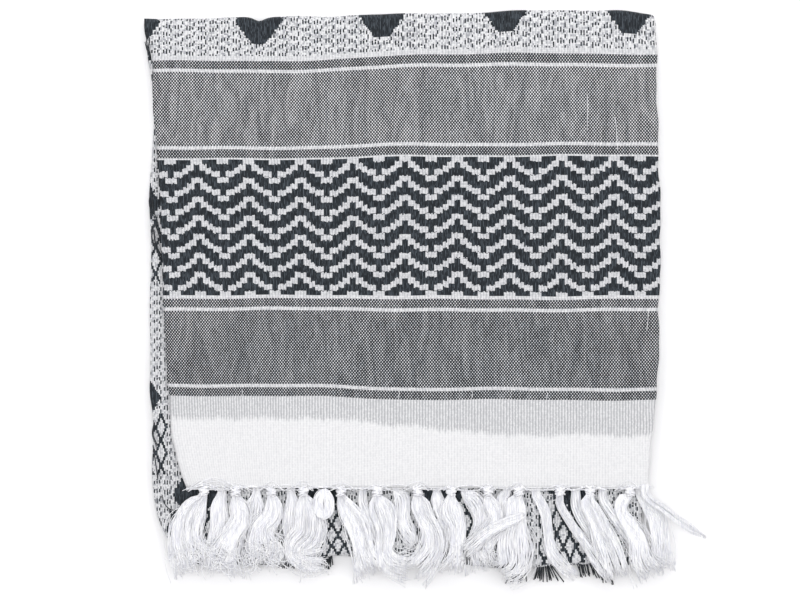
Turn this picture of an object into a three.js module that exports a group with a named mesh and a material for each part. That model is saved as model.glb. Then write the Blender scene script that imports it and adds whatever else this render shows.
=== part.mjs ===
// A square cotton headscarf, folded in thirds across its width and then in a flat Z along its
// length, so that nine layers of cloth lie on each other. The top stretch ends in a knotted hem
// with tassels. Millimetres, +Z up; the origin is in the middle of the flat underside.

import * as THREE from 'three';

// Cloth and layers
const CLOTH_THICKNESS = 1.2;
const SEAM_GAP = 0.3;
const LAYER_PITCH = CLOTH_THICKNESS + SEAM_GAP;
const EDGE_TURN_RADIUS = (CLOTH_THICKNESS + LAYER_PITCH) / 2;   // outside of one layer folded on itself
const BUNDLE_TURN_RADIUS = (CLOTH_THICKNESS + 5 * LAYER_PITCH) / 2; // outside of six layers at a fold

// Plan: Y of the two big folds, the hem on top and the hem underneath
const TOP_FOLD_Y = 198.5;
const BOTTOM_FOLD_Y = -198.5;
const HEM_Y = -143;
const LOWER_HEM_Y = 133.5;
const FLAP_TUCK_END_Y = 124;
const FIELD_TUCK = 15;

// Past the lower hem the layers slope down to the thinner fringe underneath
const SETTLE = { startY: 122, endY: TOP_FOLD_Y, depth: 2.2 };
const settleStations = [122, 154, 186];

// The top stretch stands up a little in its middle, and lies down between these lines and its edges
const LOOSE = {
  lift: 0.7, leftEdge: -170, leftIn: -130, rightIn: 150, rightEdge: 182, topIn: 150, topEdge: 190,
};

// The hidden layers draw in at the corners, and stop short of the hems and tucks around them
const CORNER_START_Y = 178;
const CORNER_INSET = 3;
const CORNER_STEP_Y = 12;
const MIDDLE_START = 40;
const MIDDLE_END_Y = 90;
const HEM_CLEARANCE = 2;
const TUCK_CLEARANCE = 3;

// Past these lines there is no cloth under the tassels, so they hang down at this slope
const OVERHANG = { rightX: 178, frontY: -197, slope: 0.25 };

// Edges of the top stretch: the slanting selvage and the right-hand fold
const flapEdges = [
  { y: 204, left: -183.6, right: 180.5 },
  { y: 190, left: -183.2, right: 183 },
  { y: 140, left: -181, right: 183 },
  { y: 94, left: -177, right: 184.6 },
  { y: 40, left: -174.5, right: 186 },
  { y: -8, left: -172.8, right: 184.6 },
  { y: -72, left: -169.2, right: 183 },
  { y: -101, left: -164.2, right: 179.6 },
  { y: -143, left: -153.4, right: 176.4 },
];

// Edges of the stretches below it, with round corners at the bottom fold
const bodyEdges = [
  { y: 204, left: -181.5, right: 178 },
  { y: 175, left: -185.5, right: 179.5 },
  { y: 140, left: -182, right: 179 },
  { y: 95, left: -181.4, right: 180 },
  { y: 60, left: -182.6, right: 181 },
  { y: 0, left: -181, right: 180 },
  { y: -75, left: -183, right: 178 },
  { y: -110, left: -180.6, right: 176 },
  { y: -150, left: -179.6, right: 173 },
  { y: -172, left: -174, right: 172 },
  { y: -186, left: -166, right: 169 },
  { y: -198.5, left: -152, right: 164 },
];

// Sides of the hidden layers: each layer bulges at its own height
const hiddenRings = [
  { stretch: 'base', height: 1.5, leftInset: 5.2, rightInset: 2.6 },
  { stretch: 'base', height: 2.1, leftInset: 4.2, rightInset: 1.2 },
  { stretch: 'base', height: 2.85, leftInset: 4, rightInset: 2.4 },
  { stretch: 'base', height: 3.6, leftInset: 2.6, rightInset: 0.6 },
  { stretch: 'base', height: 4.35, leftInset: 4, rightInset: 2.2 },
  { stretch: 'base', height: 6, leftInset: 3.4, rightInset: 1.2 },
  { stretch: 'body', height: 6, leftInset: 4.4, rightInset: 1.8 },
  { stretch: 'body', height: 6.6, leftInset: 4.2, rightInset: 0.8 },
  { stretch: 'body', height: 7.2, leftInset: 5.4, rightInset: 2.2 },
  { stretch: 'core', height: 7.2, leftInset: 0, rightInset: 3.4 },
  { stretch: 'core', height: 9, leftInset: 0, rightInset: 3.4 },
  { stretch: 'flap', height: 9, leftInset: 3.4, rightInset: 2.6 },
  { stretch: 'flap', height: 9.6, leftInset: 2.2, rightInset: 0.8 },
  { stretch: 'flap', height: 10.35, leftInset: 3.4, rightInset: 2.8 },
  { stretch: 'flap', height: 11.1, leftInset: 2.4, rightInset: 2.2 },
  { stretch: 'flap', height: 11.7, leftInset: 3.6, rightInset: 3.2 },
];

// Tassels, from left to right. root: x of the knot on the hem; tier: 0 lies on the field, 2 lies on
// the others; reach: length down from the hem; sway: how far the tip moves to the right;
// bow: how far the middle stands to the right; width: of the widest part.
const tassels = [
  { root: -143, tier: 1, reach: 46, sway: -17, bow: -8, width: 18 },
  { root: -128, tier: 0, reach: 61, sway: -2, bow: 4, width: 14 },
  { root: -106, tier: 0, reach: 42, sway: -8, bow: 2, width: 13 },
  { root: -95, tier: 1, reach: 57, sway: -6, bow: 5, width: 15 },
  { root: -80, tier: 0, reach: 42, sway: -2, bow: 0, width: 11 },
  { root: -71.5, tier: 1, reach: 55, sway: 5, bow: 2, width: 15 },
  { root: -57, tier: 2, reach: 21, sway: 0, bow: 0, width: 14 },
  { root: -44.5, tier: 1, reach: 58, sway: 24, bow: -1, width: 13 },
  { root: -29.5, tier: 0, reach: 40, sway: 10, bow: 0, width: 8 },
  { root: -19, tier: 1, reach: 59, sway: 20, bow: -5, width: 12 },
  { root: -4, tier: 0, reach: 41, sway: 16, bow: 0, width: 11 },
  { root: 10.5, tier: 1, reach: 60, sway: 8, bow: 6, width: 12 },
  { root: 24.5, tier: 0, reach: 46, sway: 10, bow: 0, width: 10 },
  { root: 34.5, tier: 1, reach: 56, sway: 0, bow: 5, width: 13 },
  { root: 45, tier: 0, reach: 43, sway: 9, bow: 8, width: 12 },
  { root: 61, tier: 1, reach: 55, sway: 2, bow: 4, width: 12 },
  { root: 74, tier: 0, reach: 41, sway: -2, bow: 0, width: 9 },
  { root: 83.5, tier: 1, reach: 60, sway: 0, bow: -3, width: 15 },
  { root: 86, tier: 2, reach: 43, sway: -43, bow: 13, width: 7 },
  { root: 96, tier: 0, reach: 60, sway: 27, bow: -6, width: 9 },
  { root: 113, tier: 1, reach: 61, sway: 36, bow: -5, width: 7 },
  { root: 124.5, tier: 0, reach: 42, sway: 15, bow: 0, width: 8 },
  { root: 134.5, tier: 2, reach: 60, sway: 21, bow: 0, width: 15 },
  { root: 144, tier: 0, reach: 51, sway: 26, bow: 0, width: 7 },
  { root: 161, tier: 1, reach: 61, sway: 15, bow: -6, width: 12 },
  { root: 168, tier: 0, reach: 52, sway: 20, bow: 5, width: 10 },
  { root: 174, tier: 2, reach: 32, sway: 45, bow: 0, width: 4 },
];

// Along a tassel: share of its reach, share of its full width, share of its thickness
const tasselSections = [
  { along: 0, width: 0.22, depth: 0.9 },
  { along: 0.05, width: 0.36, depth: 1 },
  { along: 0.1, width: 0.26, depth: 0.9 },
  { along: 0.25, width: 0.7, depth: 1 },
  { along: 0.45, width: 1, depth: 1 },
  { along: 0.65, width: 0.95, depth: 1 },
  { along: 0.85, width: 0.85, depth: 0.85 },
  { along: 1, width: 0.55, depth: 0.55 },
];
const TASSEL_THICKNESS = 1.8;
const TASSEL_SIDES = 8;
const TIER_PITCH = 2.2;
const FIRST_TIER_HEIGHT = 10;

const HEM_CORD_RADIUS = 1.1;
const HEM_CORD_SIDES = 8;
const UNDER_FRINGE = { left: -168, right: 166, endY: 193, low: 0.3, high: 1.8, waves: 11, waveDepth: 5 };

const cotton = { color: 0x9a9ca1, roughness: 0.95, metalness: 0 };
const whiteCotton = { color: 0xf2f3f5, roughness: 0.9, metalness: 0 };

// ---- small helpers ------------------------------------------------------------------------------

// Reads a column of a table at y, on a smooth curve through its rows
function lookUp(table, y, column) {
  const rows = table[0].y < table[1].y ? table : [...table].reverse();
  const last = rows.length - 1;
  if (y <= rows[0].y) return rows[0][column];
  if (y >= rows[last].y) return rows[last][column];
  const upper = rows.findIndex((row) => row.y >= y);
  const slopeAt = (index) => {
    const before = rows[Math.max(index - 1, 0)];
    const after = rows[Math.min(index + 1, last)];
    return (after[column] - before[column]) / (after.y - before.y);
  };
  const [start, end] = [rows[upper - 1], rows[upper]];
  const span = end.y - start.y;
  const t = (y - start.y) / span;
  const [t2, t3] = [t * t, t * t * t];
  return (2 * t3 - 3 * t2 + 1) * start[column] + (t3 - 2 * t2 + t) * span * slopeAt(upper - 1)
    + (3 * t2 - 2 * t3) * end[column] + (t3 - t2) * span * slopeAt(upper);
}

function smoothStep(value, from, to) {
  return THREE.MathUtils.smoothstep(value, from, to);
}

function settle(y) {
  return SETTLE.depth * Math.max(0, y - SETTLE.startY) / (SETTLE.endY - SETTLE.startY);
}

function steps(count) {
  return Array.from({ length: count + 1 }, (unused, index) => index / count);
}

function mesh(name, geometry, look) {
  const piece = new THREE.Mesh(geometry, new THREE.MeshStandardMaterial(look));
  piece.name = name;
  return piece;
}

function geometryFrom(points, triangles) {
  const geometry = new THREE.BufferGeometry();
  geometry.setAttribute('position', new THREE.Float32BufferAttribute(points.flat(), 3));
  geometry.setIndex(triangles.flat());
  geometry.computeVertexNormals();
  return geometry;
}

// A closed wall between two grids of points, outer and inner, with rows and columns alike
function wall(outer, inner) {
  const rowCount = outer.length;
  const columnCount = outer[0].length;
  const points = [...outer.flat(), ...inner.flat()];
  const outerAt = (row, column) => row * columnCount + column;
  const innerAt = (row, column) => rowCount * columnCount + outerAt(row, column);
  const triangles = [];
  const quad = (a, b, c, d) => triangles.push([a, b, c], [a, c, d]);
  for (let row = 0; row < rowCount - 1; row += 1) {
    for (let column = 0; column < columnCount - 1; column += 1) {
      const [next, beside] = [row + 1, column + 1];
      quad(outerAt(row, column), outerAt(row, beside), outerAt(next, beside), outerAt(next, column));
      quad(innerAt(row, column), innerAt(next, column), innerAt(next, beside), innerAt(row, beside));
    }
    const end = columnCount - 1;
    quad(outerAt(row, 0), outerAt(row + 1, 0), innerAt(row + 1, 0), innerAt(row, 0));
    quad(outerAt(row + 1, end), outerAt(row, end), innerAt(row, end), innerAt(row + 1, end));
  }
  for (let column = 0; column < columnCount - 1; column += 1) {
    const end = rowCount - 1;
    quad(outerAt(0, column + 1), outerAt(0, column), innerAt(0, column), innerAt(0, column + 1));
    quad(outerAt(end, column), outerAt(end, column + 1), innerAt(end, column + 1), innerAt(end, column));
  }
  return geometryFrom(points, triangles);
}

// A closed solid through rings of points, all with the same count, from the first ring to the last
function loft(rings) {
  const count = rings[0].length;
  const triangles = [];
  for (let ring = 0; ring < rings.length - 1; ring += 1) {
    for (let index = 0; index < count; index += 1) {
      const next = (index + 1) % count;
      const [a, b] = [ring * count + index, ring * count + next];
      const [c, d] = [b + count, a + count];
      triangles.push([a, b, c], [a, c, d]);
    }
  }
  for (let index = 1; index < count - 1; index += 1) {
    const top = (rings.length - 1) * count;
    triangles.push([0, index + 1, index], [top, top + index, top + index + 1]);
  }
  return geometryFrom(rings.flat(), triangles);
}

// ---- the folded cloth ---------------------------------------------------------------------------

// One layer's way along the cloth, as its outside skin: flat, then round a big fold.
// Each station has the edge table's y, the skin's place and the direction out of the cloth.
function stationsRoundFold({ startY, foldY, height, angles, returnY = [] }) {
  const side = Math.sign(foldY - startY[0]);
  const centreY = foldY - side * BUNDLE_TURN_RADIUS;
  const centreHeight = height - BUNDLE_TURN_RADIUS;
  const flat = startY.map((y) => ({ y, height, outY: 0, outZ: 1 }));
  const round = angles.map((angle) => ({
    y: centreY + side * BUNDLE_TURN_RADIUS * Math.sin(angle),
    height: centreHeight + BUNDLE_TURN_RADIUS * Math.cos(angle),
    outY: side * Math.sin(angle),
    outZ: Math.cos(angle),
  }));
  const under = returnY.map((y) => ({ y, height: height - 2 * BUNDLE_TURN_RADIUS, outY: 0, outZ: -1 }));
  return [...flat, ...round, ...under];
}

// Across the cloth: from one edge to the other, then round one side fold. depth is how far the skin
// stands inside the outermost skin; both skins of the wall come back.
function acrossWithTurn({ plain, turned, flatSteps, turnSteps }) {
  const side = Math.sign(turned - plain);
  const centre = turned - side * EDGE_TURN_RADIUS;
  const innerRadius = EDGE_TURN_RADIUS - CLOTH_THICKNESS;
  const outer = steps(flatSteps).map((share) => ({ x: plain + (centre - plain) * share, depth: 0 }));
  const inner = outer.map(({ x }) => ({ x, depth: CLOTH_THICKNESS }));
  for (const share of steps(turnSteps).slice(1)) {
    const angle = Math.PI * share;
    for (const [skin, radius] of [[outer, EDGE_TURN_RADIUS], [inner, innerRadius]]) {
      skin.push({
        x: centre + side * radius * Math.sin(angle),
        depth: EDGE_TURN_RADIUS - radius * Math.cos(angle),
      });
    }
  }
  return { outer, inner };
}

// Where a skin point lies: inside its station by depth
function place(station, { x, depth }, lift) {
  const y = station.y - station.outY * depth;
  return [x, y, station.height - station.outZ * depth + lift];
}

// Loose cloth stands up a little between its edges, in long soft waves
function looseLift(x, y) {
  const inside = smoothStep(x, LOOSE.leftEdge, LOOSE.leftIn)
    * (1 - smoothStep(x, LOOSE.rightIn, LOOSE.rightEdge))
    * (1 - smoothStep(y, LOOSE.topIn, LOOSE.topEdge));
  const wave = 0.5 + 0.3 * Math.sin(x / 38 + y / 90) + 0.2 * Math.sin(y / 31 - x / 120);
  return LOOSE.lift * inside * wave;
}

function makeTopFlap() {
  const stations = stationsRoundFold({
    startY: [HEM_Y, -122, -101, -72, -40, -8, 24, 56, 94, ...settleStations],
    foldY: TOP_FOLD_Y,
    height: 8 * LAYER_PITCH + CLOTH_THICKNESS,
    angles: steps(6).map((share) => Math.PI * share),
    returnY: [...settleStations.slice(1).reverse(), FLAP_TUCK_END_Y],
  });
  const skins = stations.map((station) => {
    const across = acrossWithTurn({
      plain: lookUp(flapEdges, station.y, 'left'),
      turned: lookUp(flapEdges, station.y, 'right'),
      flatSteps: 18,
      turnSteps: 4,
    });
    const lift = ({ x }) => (station.outZ === 1 ? looseLift(x, station.y) : 0) - settle(station.y);
    return {
      outer: across.outer.map((point) => place(station, point, lift(point))),
      inner: across.inner.map((point) => place(station, point, lift(point))),
    };
  });
  return mesh('top_flap', wall(skins.map((row) => row.outer), skins.map((row) => row.inner)), cotton);
}

// The field shows down the left side and below the hem, and runs a little way under the flap
function makeFieldPanel() {
  const hemTuckY = HEM_Y + FIELD_TUCK;
  const seamAngle = SEAM_GAP / BUNDLE_TURN_RADIUS;
  const stations = stationsRoundFold({
    startY: [...[...settleStations].reverse(), 90, 50, 10, -30, -70, -100, hemTuckY, hemTuckY - 3,
      HEM_Y, -160, -172, -184],
    foldY: BOTTOM_FOLD_Y,
    height: 5 * LAYER_PITCH + CLOTH_THICKNESS,
    angles: steps(4).map((share) => (Math.PI / 2 - seamAngle) * share),
  });
  const skins = stations.map((station) => {
    const underFlap = station.y > hemTuckY - 1;
    const across = acrossWithTurn({
      plain: underFlap
        ? lookUp(flapEdges, station.y, 'left') + FIELD_TUCK
        : lookUp(bodyEdges, station.y, 'right'),
      turned: lookUp(bodyEdges, station.y, 'left'),
      flatSteps: 12,
      turnSteps: 4,
    });
    return {
      outer: across.outer.map((point) => place(station, point, -settle(station.y))),
      inner: across.inner.map((point) => place(station, point, -settle(station.y))),
    };
  });
  return mesh('field_panel', wall(skins.map((row) => row.outer), skins.map((row) => row.inner)), cotton);
}

// The underside: the same shape turned over, flat at height 0
function makeBasePanel() {
  const seamAngle = SEAM_GAP / BUNDLE_TURN_RADIUS;
  const stations = stationsRoundFold({
    startY: [LOWER_HEM_Y, 100, 60, 10, -40, -90, -130, -160, -175, -186],
    foldY: BOTTOM_FOLD_Y,
    height: 0,
    angles: steps(4).map((share) => (Math.PI / 2 - seamAngle) * share),
  });
  const turnedOver = ([x, y, z]) => [x, y, -z];
  const skins = stations.reverse().map((station) => {
    const across = acrossWithTurn({
      plain: lookUp(bodyEdges, station.y, 'right') - 1,
      turned: lookUp(bodyEdges, station.y, 'left') + 0.5,
      flatSteps: 12,
      turnSteps: 4,
    });
    return {
      outer: across.outer.map((point) => turnedOver(place(station, point, 0))),
      inner: across.inner.map((point) => turnedOver(place(station, point, 0))),
    };
  });
  return mesh('base_panel', wall(skins.map((row) => row.outer), skins.map((row) => row.inner)), cotton);
}

// Outline of one ring of the hidden layers, anticlockwise from the bottom left
function hiddenOutline({ stretch, height, leftInset, rightInset }) {
  const foldRadius = BUNDLE_TURN_RADIUS - LAYER_PITCH;
  const foldReach = (centreHeight) => Math.sqrt(Math.max(foldRadius ** 2 - (height - centreHeight) ** 2, 0));
  const bottomReach = BOTTOM_FOLD_Y + BUNDLE_TURN_RADIUS - foldReach(BUNDLE_TURN_RADIUS);
  const topReach = TOP_FOLD_Y - BUNDLE_TURN_RADIUS + foldReach(3 * LAYER_PITCH + BUNDLE_TURN_RADIUS);
  const shapes = {
    base: { edges: bodyEdges, bottom: bottomReach, top: FLAP_TUCK_END_Y - HEM_CLEARANCE },
    body: { edges: bodyEdges, bottom: bottomReach, top: topReach },
    core: {
      edges: flapEdges,
      bottom: HEM_Y + FIELD_TUCK + TUCK_CLEARANCE,
      top: topReach,
      leftExtra: FIELD_TUCK + TUCK_CLEARANCE,
    },
    flap: { edges: flapEdges, bottom: HEM_Y + HEM_CLEARANCE, top: topReach },
  };
  const { edges, bottom, top, leftExtra = 0 } = shapes[stretch];
  const cornerStations = [0, 1, 2].map((step) => bottom + step * CORNER_STEP_Y);
  const upperStations = stretch === 'base' ? steps(2).map((share) => top - 4 + 3 * share) : settleStations;
  const middleY = bottom + MIDDLE_START;
  const middleStations = steps(6).map((share) => middleY + (MIDDLE_END_Y - middleY) * share);
  const sideStations = [...cornerStations, ...middleStations, ...upperStations, top];
  const lowered = stretch === 'base' ? () => 0 : settle;
  const cornerInset = (y) => CORNER_INSET * smoothStep(Math.abs(y), CORNER_START_Y, -BOTTOM_FOLD_Y);
  const leftX = (y) => lookUp(edges, y, 'left') + leftInset + leftExtra + cornerInset(y);
  const rightX = (y) => lookUp(edges, y, 'right') - rightInset - cornerInset(y);
  const up = sideStations.map((y) => [rightX(y), y, height - lowered(y)]);
  const down = [...sideStations].reverse().map((y) => [leftX(y), y, height - lowered(y)]);
  return [...up, ...down];
}

function makeHiddenLayers() {
  return mesh('hidden_layers', loft(hiddenRings.map(hiddenOutline)), cotton);
}

// ---- the fringe ---------------------------------------------------------------------------------

// What lies past the edge of the folded cloth hangs down a little
function droop(x, y) {
  return OVERHANG.slope * (Math.max(0, x - OVERHANG.rightX) + Math.max(0, OVERHANG.frontY - y));
}

function makeTassel({ root, tier, reach, sway, bow, width }, index) {
  const startY = HEM_Y - 2 * HEM_CORD_RADIUS - 5 * SEAM_GAP;
  const middle = (along) => new THREE.Vector2(
    root + sway * along * along + bow * Math.sin(Math.PI * along),
    startY - reach * along,
  );
  const rings = tasselSections.map((section) => {
    const centre = middle(section.along);
    const ahead = middle(section.along + 0.01).sub(middle(section.along - 0.01)).normalize();
    const height = FIRST_TIER_HEIGHT + tier * TIER_PITCH;
    return steps(TASSEL_SIDES).slice(1).map((share) => {
      const across = Math.cos(2 * Math.PI * share) * section.width * width / 2;
      const up = Math.sin(2 * Math.PI * share) * section.depth * TASSEL_THICKNESS / 2;
      const [x, y] = [centre.x - ahead.y * across, centre.y + ahead.x * across];
      return [x, y, height + up - droop(centre.x, centre.y)];
    });
  });
  return mesh(`tassel_${String(index + 1).padStart(2, '0')}`, loft(rings), whiteCotton);
}

function makeHemCord() {
  const [left, right] = [lookUp(flapEdges, HEM_Y, 'left'), lookUp(flapEdges, HEM_Y, 'right')];
  const height = 8 * LAYER_PITCH + CLOTH_THICKNESS / 2;
  const rings = steps(24).map((along) => steps(HEM_CORD_SIDES).slice(1).map((share) => [
    left + (right - left) * along,
    HEM_Y - SEAM_GAP - HEM_CORD_RADIUS * (1 + Math.cos(2 * Math.PI * share)),
    height - HEM_CORD_RADIUS * Math.sin(2 * Math.PI * share),
  ]));
  return mesh('hem_cord', loft(rings), whiteCotton);
}

// The other end's tassels lie flat under the scarf, past the lower hem
function makeUnderFringe() {
  const { left, right, endY, low, high, waves, waveDepth } = UNDER_FRINGE;
  const across = steps(waves * 4);
  const endAt = (share) => endY - waveDepth * Math.sin(Math.PI * waves * share) ** 2;
  const skin = (height) => [
    across.map((share) => [left + (right - left) * share, LOWER_HEM_Y + SEAM_GAP, height]),
    across.map((share) => [left + (right - left) * share, endAt(share), height]),
  ];
  return mesh('under_fringe', wall(skin(high), skin(low)), whiteCotton);
}

const group = new THREE.Group();
group.add(makeTopFlap(), makeFieldPanel(), makeBasePanel(), makeHiddenLayers());
group.add(makeHemCord(), ...tassels.map(makeTassel), makeUnderFringe());

export default group;
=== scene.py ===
import math
import random
from functools import partial
import bpy
import numpy as np
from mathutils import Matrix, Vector


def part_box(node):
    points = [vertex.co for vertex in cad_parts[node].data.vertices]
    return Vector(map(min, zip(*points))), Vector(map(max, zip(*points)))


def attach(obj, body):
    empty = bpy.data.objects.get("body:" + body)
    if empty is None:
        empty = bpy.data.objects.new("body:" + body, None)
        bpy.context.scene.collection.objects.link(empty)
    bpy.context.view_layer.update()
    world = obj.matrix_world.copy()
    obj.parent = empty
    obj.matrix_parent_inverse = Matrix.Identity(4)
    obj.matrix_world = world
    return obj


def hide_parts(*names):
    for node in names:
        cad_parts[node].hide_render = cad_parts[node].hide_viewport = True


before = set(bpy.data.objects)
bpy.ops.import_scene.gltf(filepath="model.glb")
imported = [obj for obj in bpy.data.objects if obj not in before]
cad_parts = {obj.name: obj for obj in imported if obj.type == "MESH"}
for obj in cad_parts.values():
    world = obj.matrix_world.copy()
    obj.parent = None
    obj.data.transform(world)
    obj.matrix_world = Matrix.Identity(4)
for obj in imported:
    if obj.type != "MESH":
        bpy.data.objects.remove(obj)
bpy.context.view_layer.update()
mm = 0.001


def toLinear(hexColour):
    channels = [int(hexColour[i:i + 2], 16) / 255 for i in (1, 3, 5)]
    return [c / 12.92 if c <= 0.04045 else ((c + 0.055) / 1.055) ** 2.4 for c in channels] + [1]


def addNode(tree, kind, *values, inputs=None, output=0, **settings):
    # kind: the node's type, then its operation if it has one. values go to its inputs in order, and
    # inputs names or numbers them. A value is a plain one, or another node's output
    kind, _, operation = kind.partition(" ")
    node = tree.nodes.new("ShaderNode" + kind)
    if operation:
        node.operation = operation
    for name, value in settings.items():
        setattr(node, name, value)
    for socket, value in {**dict(enumerate(values)), **(inputs or {})}.items():
        if isinstance(value, bpy.types.NodeSocket):
            tree.links.new(value, node.inputs[socket])
        else:
            node.inputs[socket].default_value = value
    return node.outputs[output] if node.outputs else None


def curveThrough(rows, along, column):
    # a smooth curve through a table's column, as a function of another column
    ordered = sorted(rows, key=lambda row: row[along])
    xs = np.array([row[along] for row in ordered], float)
    ys = np.array([row[column] for row in ordered], float)
    slopes = np.gradient(ys, xs)

    def value(at):
        at = np.clip(np.asarray(at, float), xs[0], xs[-1])
        i = np.clip(np.searchsorted(xs, at) - 1, 0, len(xs) - 2)
        span = xs[i + 1] - xs[i]
        t = (at - xs[i]) / span
        return ((2 * t ** 3 - 3 * t ** 2 + 1) * ys[i] + (t ** 3 - 2 * t ** 2 + t) * span * slopes[i]
                + (3 * t ** 2 - 2 * t ** 3) * ys[i + 1] + (t ** 3 - t ** 2) * span * slopes[i + 1])
    return value


def smoothStep(value, start, end):
    t = np.clip((np.asarray(value, float) - start) / (end - start), 0, 1)
    return t * t * (3 - 2 * t)


def selectOnly(piece):
    bpy.ops.object.select_all(action='DESELECT')
    piece.select_set(True)
    bpy.context.view_layer.objects.active = piece


def finishPiece(piece, nodes=(), material=None):
    if material:
        piece.data.materials.clear()
        piece.data.materials.append(material)
    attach(piece, "root")
    if nodes:
        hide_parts(*nodes)
    return piece


# sizes, in millimetres
flapLow, flapHigh = [[v / mm for v in corner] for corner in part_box("top_flap")]
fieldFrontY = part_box("field_panel")[0][1] / mm
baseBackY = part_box("base_panel")[1][1] / mm

layers = {
    "pitch": 1.5,             # from one layer of cloth to the next
    "cloth": 0.9,             # thickness of the woven cloth
    "solidCloth": 1.2,        # thickness of the cloth in the CAD solids
    "topFoldY": flapHigh[1],
    "bottomFoldY": fieldFrontY,
    "hemY": flapLow[1],       # knotted hem on top
    "lowerHemY": baseBackY,   # the other hem, underneath
    "edgeReach": 4.5,         # how softly a side fold rounds over
    "foldReach": 5.0,         # how softly the six-layer folds round over
    "settleDepth": 2.2,       # the layers sink towards the fringe underneath
}
layers["top"] = 8 * layers["pitch"] + layers["solidCloth"]
layers["field"] = 5 * layers["pitch"] + layers["solidCloth"]
layers["turnDepth"] = layers["pitch"] + layers["solidCloth"]

# the slanting selvage and the right-hand fold of the top stretch
flapEdges = [
    dict(y=204, left=-187.6, right=180.5), dict(y=192, left=-187.0, right=182.4),
    dict(y=184, left=-185.4, right=182.6), dict(y=174, left=-182.4, right=182.8),
    dict(y=140, left=-180.6, right=183.0), dict(y=94, left=-177.0, right=184.2),
    dict(y=40, left=-174.6, right=185.6), dict(y=-8, left=-172.8, right=184.6),
    dict(y=-72, left=-169.2, right=183.0), dict(y=-101, left=-167.0, right=179.6),
    dict(y=-123, left=-162.8, right=178.0), dict(y=-136, left=-159.2, right=176.8),
    dict(y=-143, left=-155.8, right=176.4),
]
# the stretches below it
bodyEdges = [
    dict(y=204, left=-183.2, right=178), dict(y=186, left=-186.0, right=179.5),
    dict(y=166, left=-184.5, right=179.5), dict(y=150, left=-181.6, right=179),
    dict(y=95, left=-181.6, right=180), dict(y=70, left=-183.4, right=181),
    dict(y=30, left=-182.0, right=181), dict(y=-10, left=-183.0, right=180),
    dict(y=-60, left=-182.6, right=178),
    dict(y=-74, left=-183.2, right=178), dict(y=-88, left=-181.2, right=177),
    dict(y=-150, left=-180.0, right=173), dict(y=-168, left=-176.0, right=172),
    dict(y=-180, left=-170.0, right=171), dict(y=-190, left=-160.0, right=168),
    dict(y=-198.5, left=-150.0, right=164),
]

# the folds themselves aren't straight: how far each stands out, along x
topFoldLine = [
    dict(x=-190, out=-3.0), dict(x=-150, out=-2.6), dict(x=-121, out=-1.4), dict(x=-110, out=-2.2),
    dict(x=-104, out=-4.4), dict(x=-98, out=-2.2), dict(x=-84, out=-1.4), dict(x=-50, out=-1.0),
    dict(x=-20, out=0.9), dict(x=28, out=0.9), dict(x=52, out=1.4), dict(x=72, out=3.2),
    dict(x=98, out=3.7), dict(x=130, out=2.8), dict(x=158, out=3.2), dict(x=176, out=1.2),
    dict(x=190, out=0.4),
]
bottomFoldLine = [
    dict(x=-190, out=0), dict(x=-90, out=0.5), dict(x=-64, out=-1.0), dict(x=-50, out=-5.6),
    dict(x=-34, out=-4.6), dict(x=-16, out=-1.0), dict(x=40, out=0.5), dict(x=78, out=3.4),
    dict(x=100, out=2.6), dict(x=126, out=0.8), dict(x=150, out=1.6), dict(x=176, out=0),
]

# soft creases and swells of the top stretch, listed one by one: from, to, half width, depth
flapCreases = [
    dict(x0=-104, y0=-76, x1=-103, y1=-140, width=2.2, depth=0.45),
    dict(x0=-96, y0=-84, x1=-97, y1=-138, width=5.0, depth=-0.35),
    dict(x0=36, y0=-84, x1=92, y1=-128, width=6.0, depth=-0.45),
    dict(x0=60, y0=-96, x1=128, y1=-126, width=4.5, depth=0.35),
    dict(x0=-20, y0=-92, x1=24, y1=-122, width=5.5, depth=-0.3),
    dict(x0=-150, y0=150, x1=-118, y1=84, width=7.0, depth=-0.4),
    dict(x0=-92, y0=166, x1=-70, y1=104, width=6.0, depth=0.35),
    dict(x0=-34, y0=158, x1=6, y1=96, width=8.0, depth=-0.4),
    dict(x0=20, y0=170, x1=58, y1=110, width=5.0, depth=-0.35),
    dict(x0=96, y0=150, x1=112, y1=92, width=7.0, depth=0.3),
    dict(x0=-150, y0=20, x1=-60, y1=-14, width=9.0, depth=-0.35),
    dict(x0=30, y0=40, x1=150, y1=10, width=11.0, depth=-0.35),
    dict(x0=54, y0=-20, x1=58, y1=-70, width=5.0, depth=-0.4),
    dict(x0=-64, y0=-22, x1=-58, y1=-66, width=6.0, depth=0.3),
    dict(x0=140, y0=-30, x1=166, y1=-74, width=7.0, depth=-0.3),
    dict(x0=-6, y0=198, x1=2, y1=176, width=5.0, depth=-0.5),
    dict(x0=118, y0=198, x1=112, y1=180, width=4.0, depth=-0.4),
    dict(x0=-128, y0=198, x1=-122, y1=180, width=5.0, depth=-0.4),
]
# similar ones underneath
baseCreases = [
    dict(x0=-150, y0=100, x1=-84, y1=20, width=9.0, depth=0.35),
    dict(x0=-30, y0=80, x1=40, y1=-60, width=11.0, depth=0.4),
    dict(x0=70, y0=-20, x1=150, y1=-120, width=8.0, depth=0.35),
    dict(x0=-120, y0=-60, x1=-60, y1=-160, width=7.0, depth=0.3),
    dict(x0=110, y0=110, x1=140, y1=40, width=6.0, depth=0.3),
]


def creaseHeight(creases, x, y):
    height = np.zeros_like(x)
    for crease in creases:
        dx, dy = crease["x1"] - crease["x0"], crease["y1"] - crease["y0"]
        length = math.hypot(dx, dy)
        along = ((x - crease["x0"]) * dx + (y - crease["y0"]) * dy) / length ** 2
        across = ((x - crease["x0"]) * dy - (y - crease["y0"]) * dx) / length
        ends = smoothStep(along, -0.25, 0.2) * (1 - smoothStep(along, 0.8, 1.25))
        height += crease["depth"] * ends * np.exp(-(across / crease["width"]) ** 2)
    return height


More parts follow.
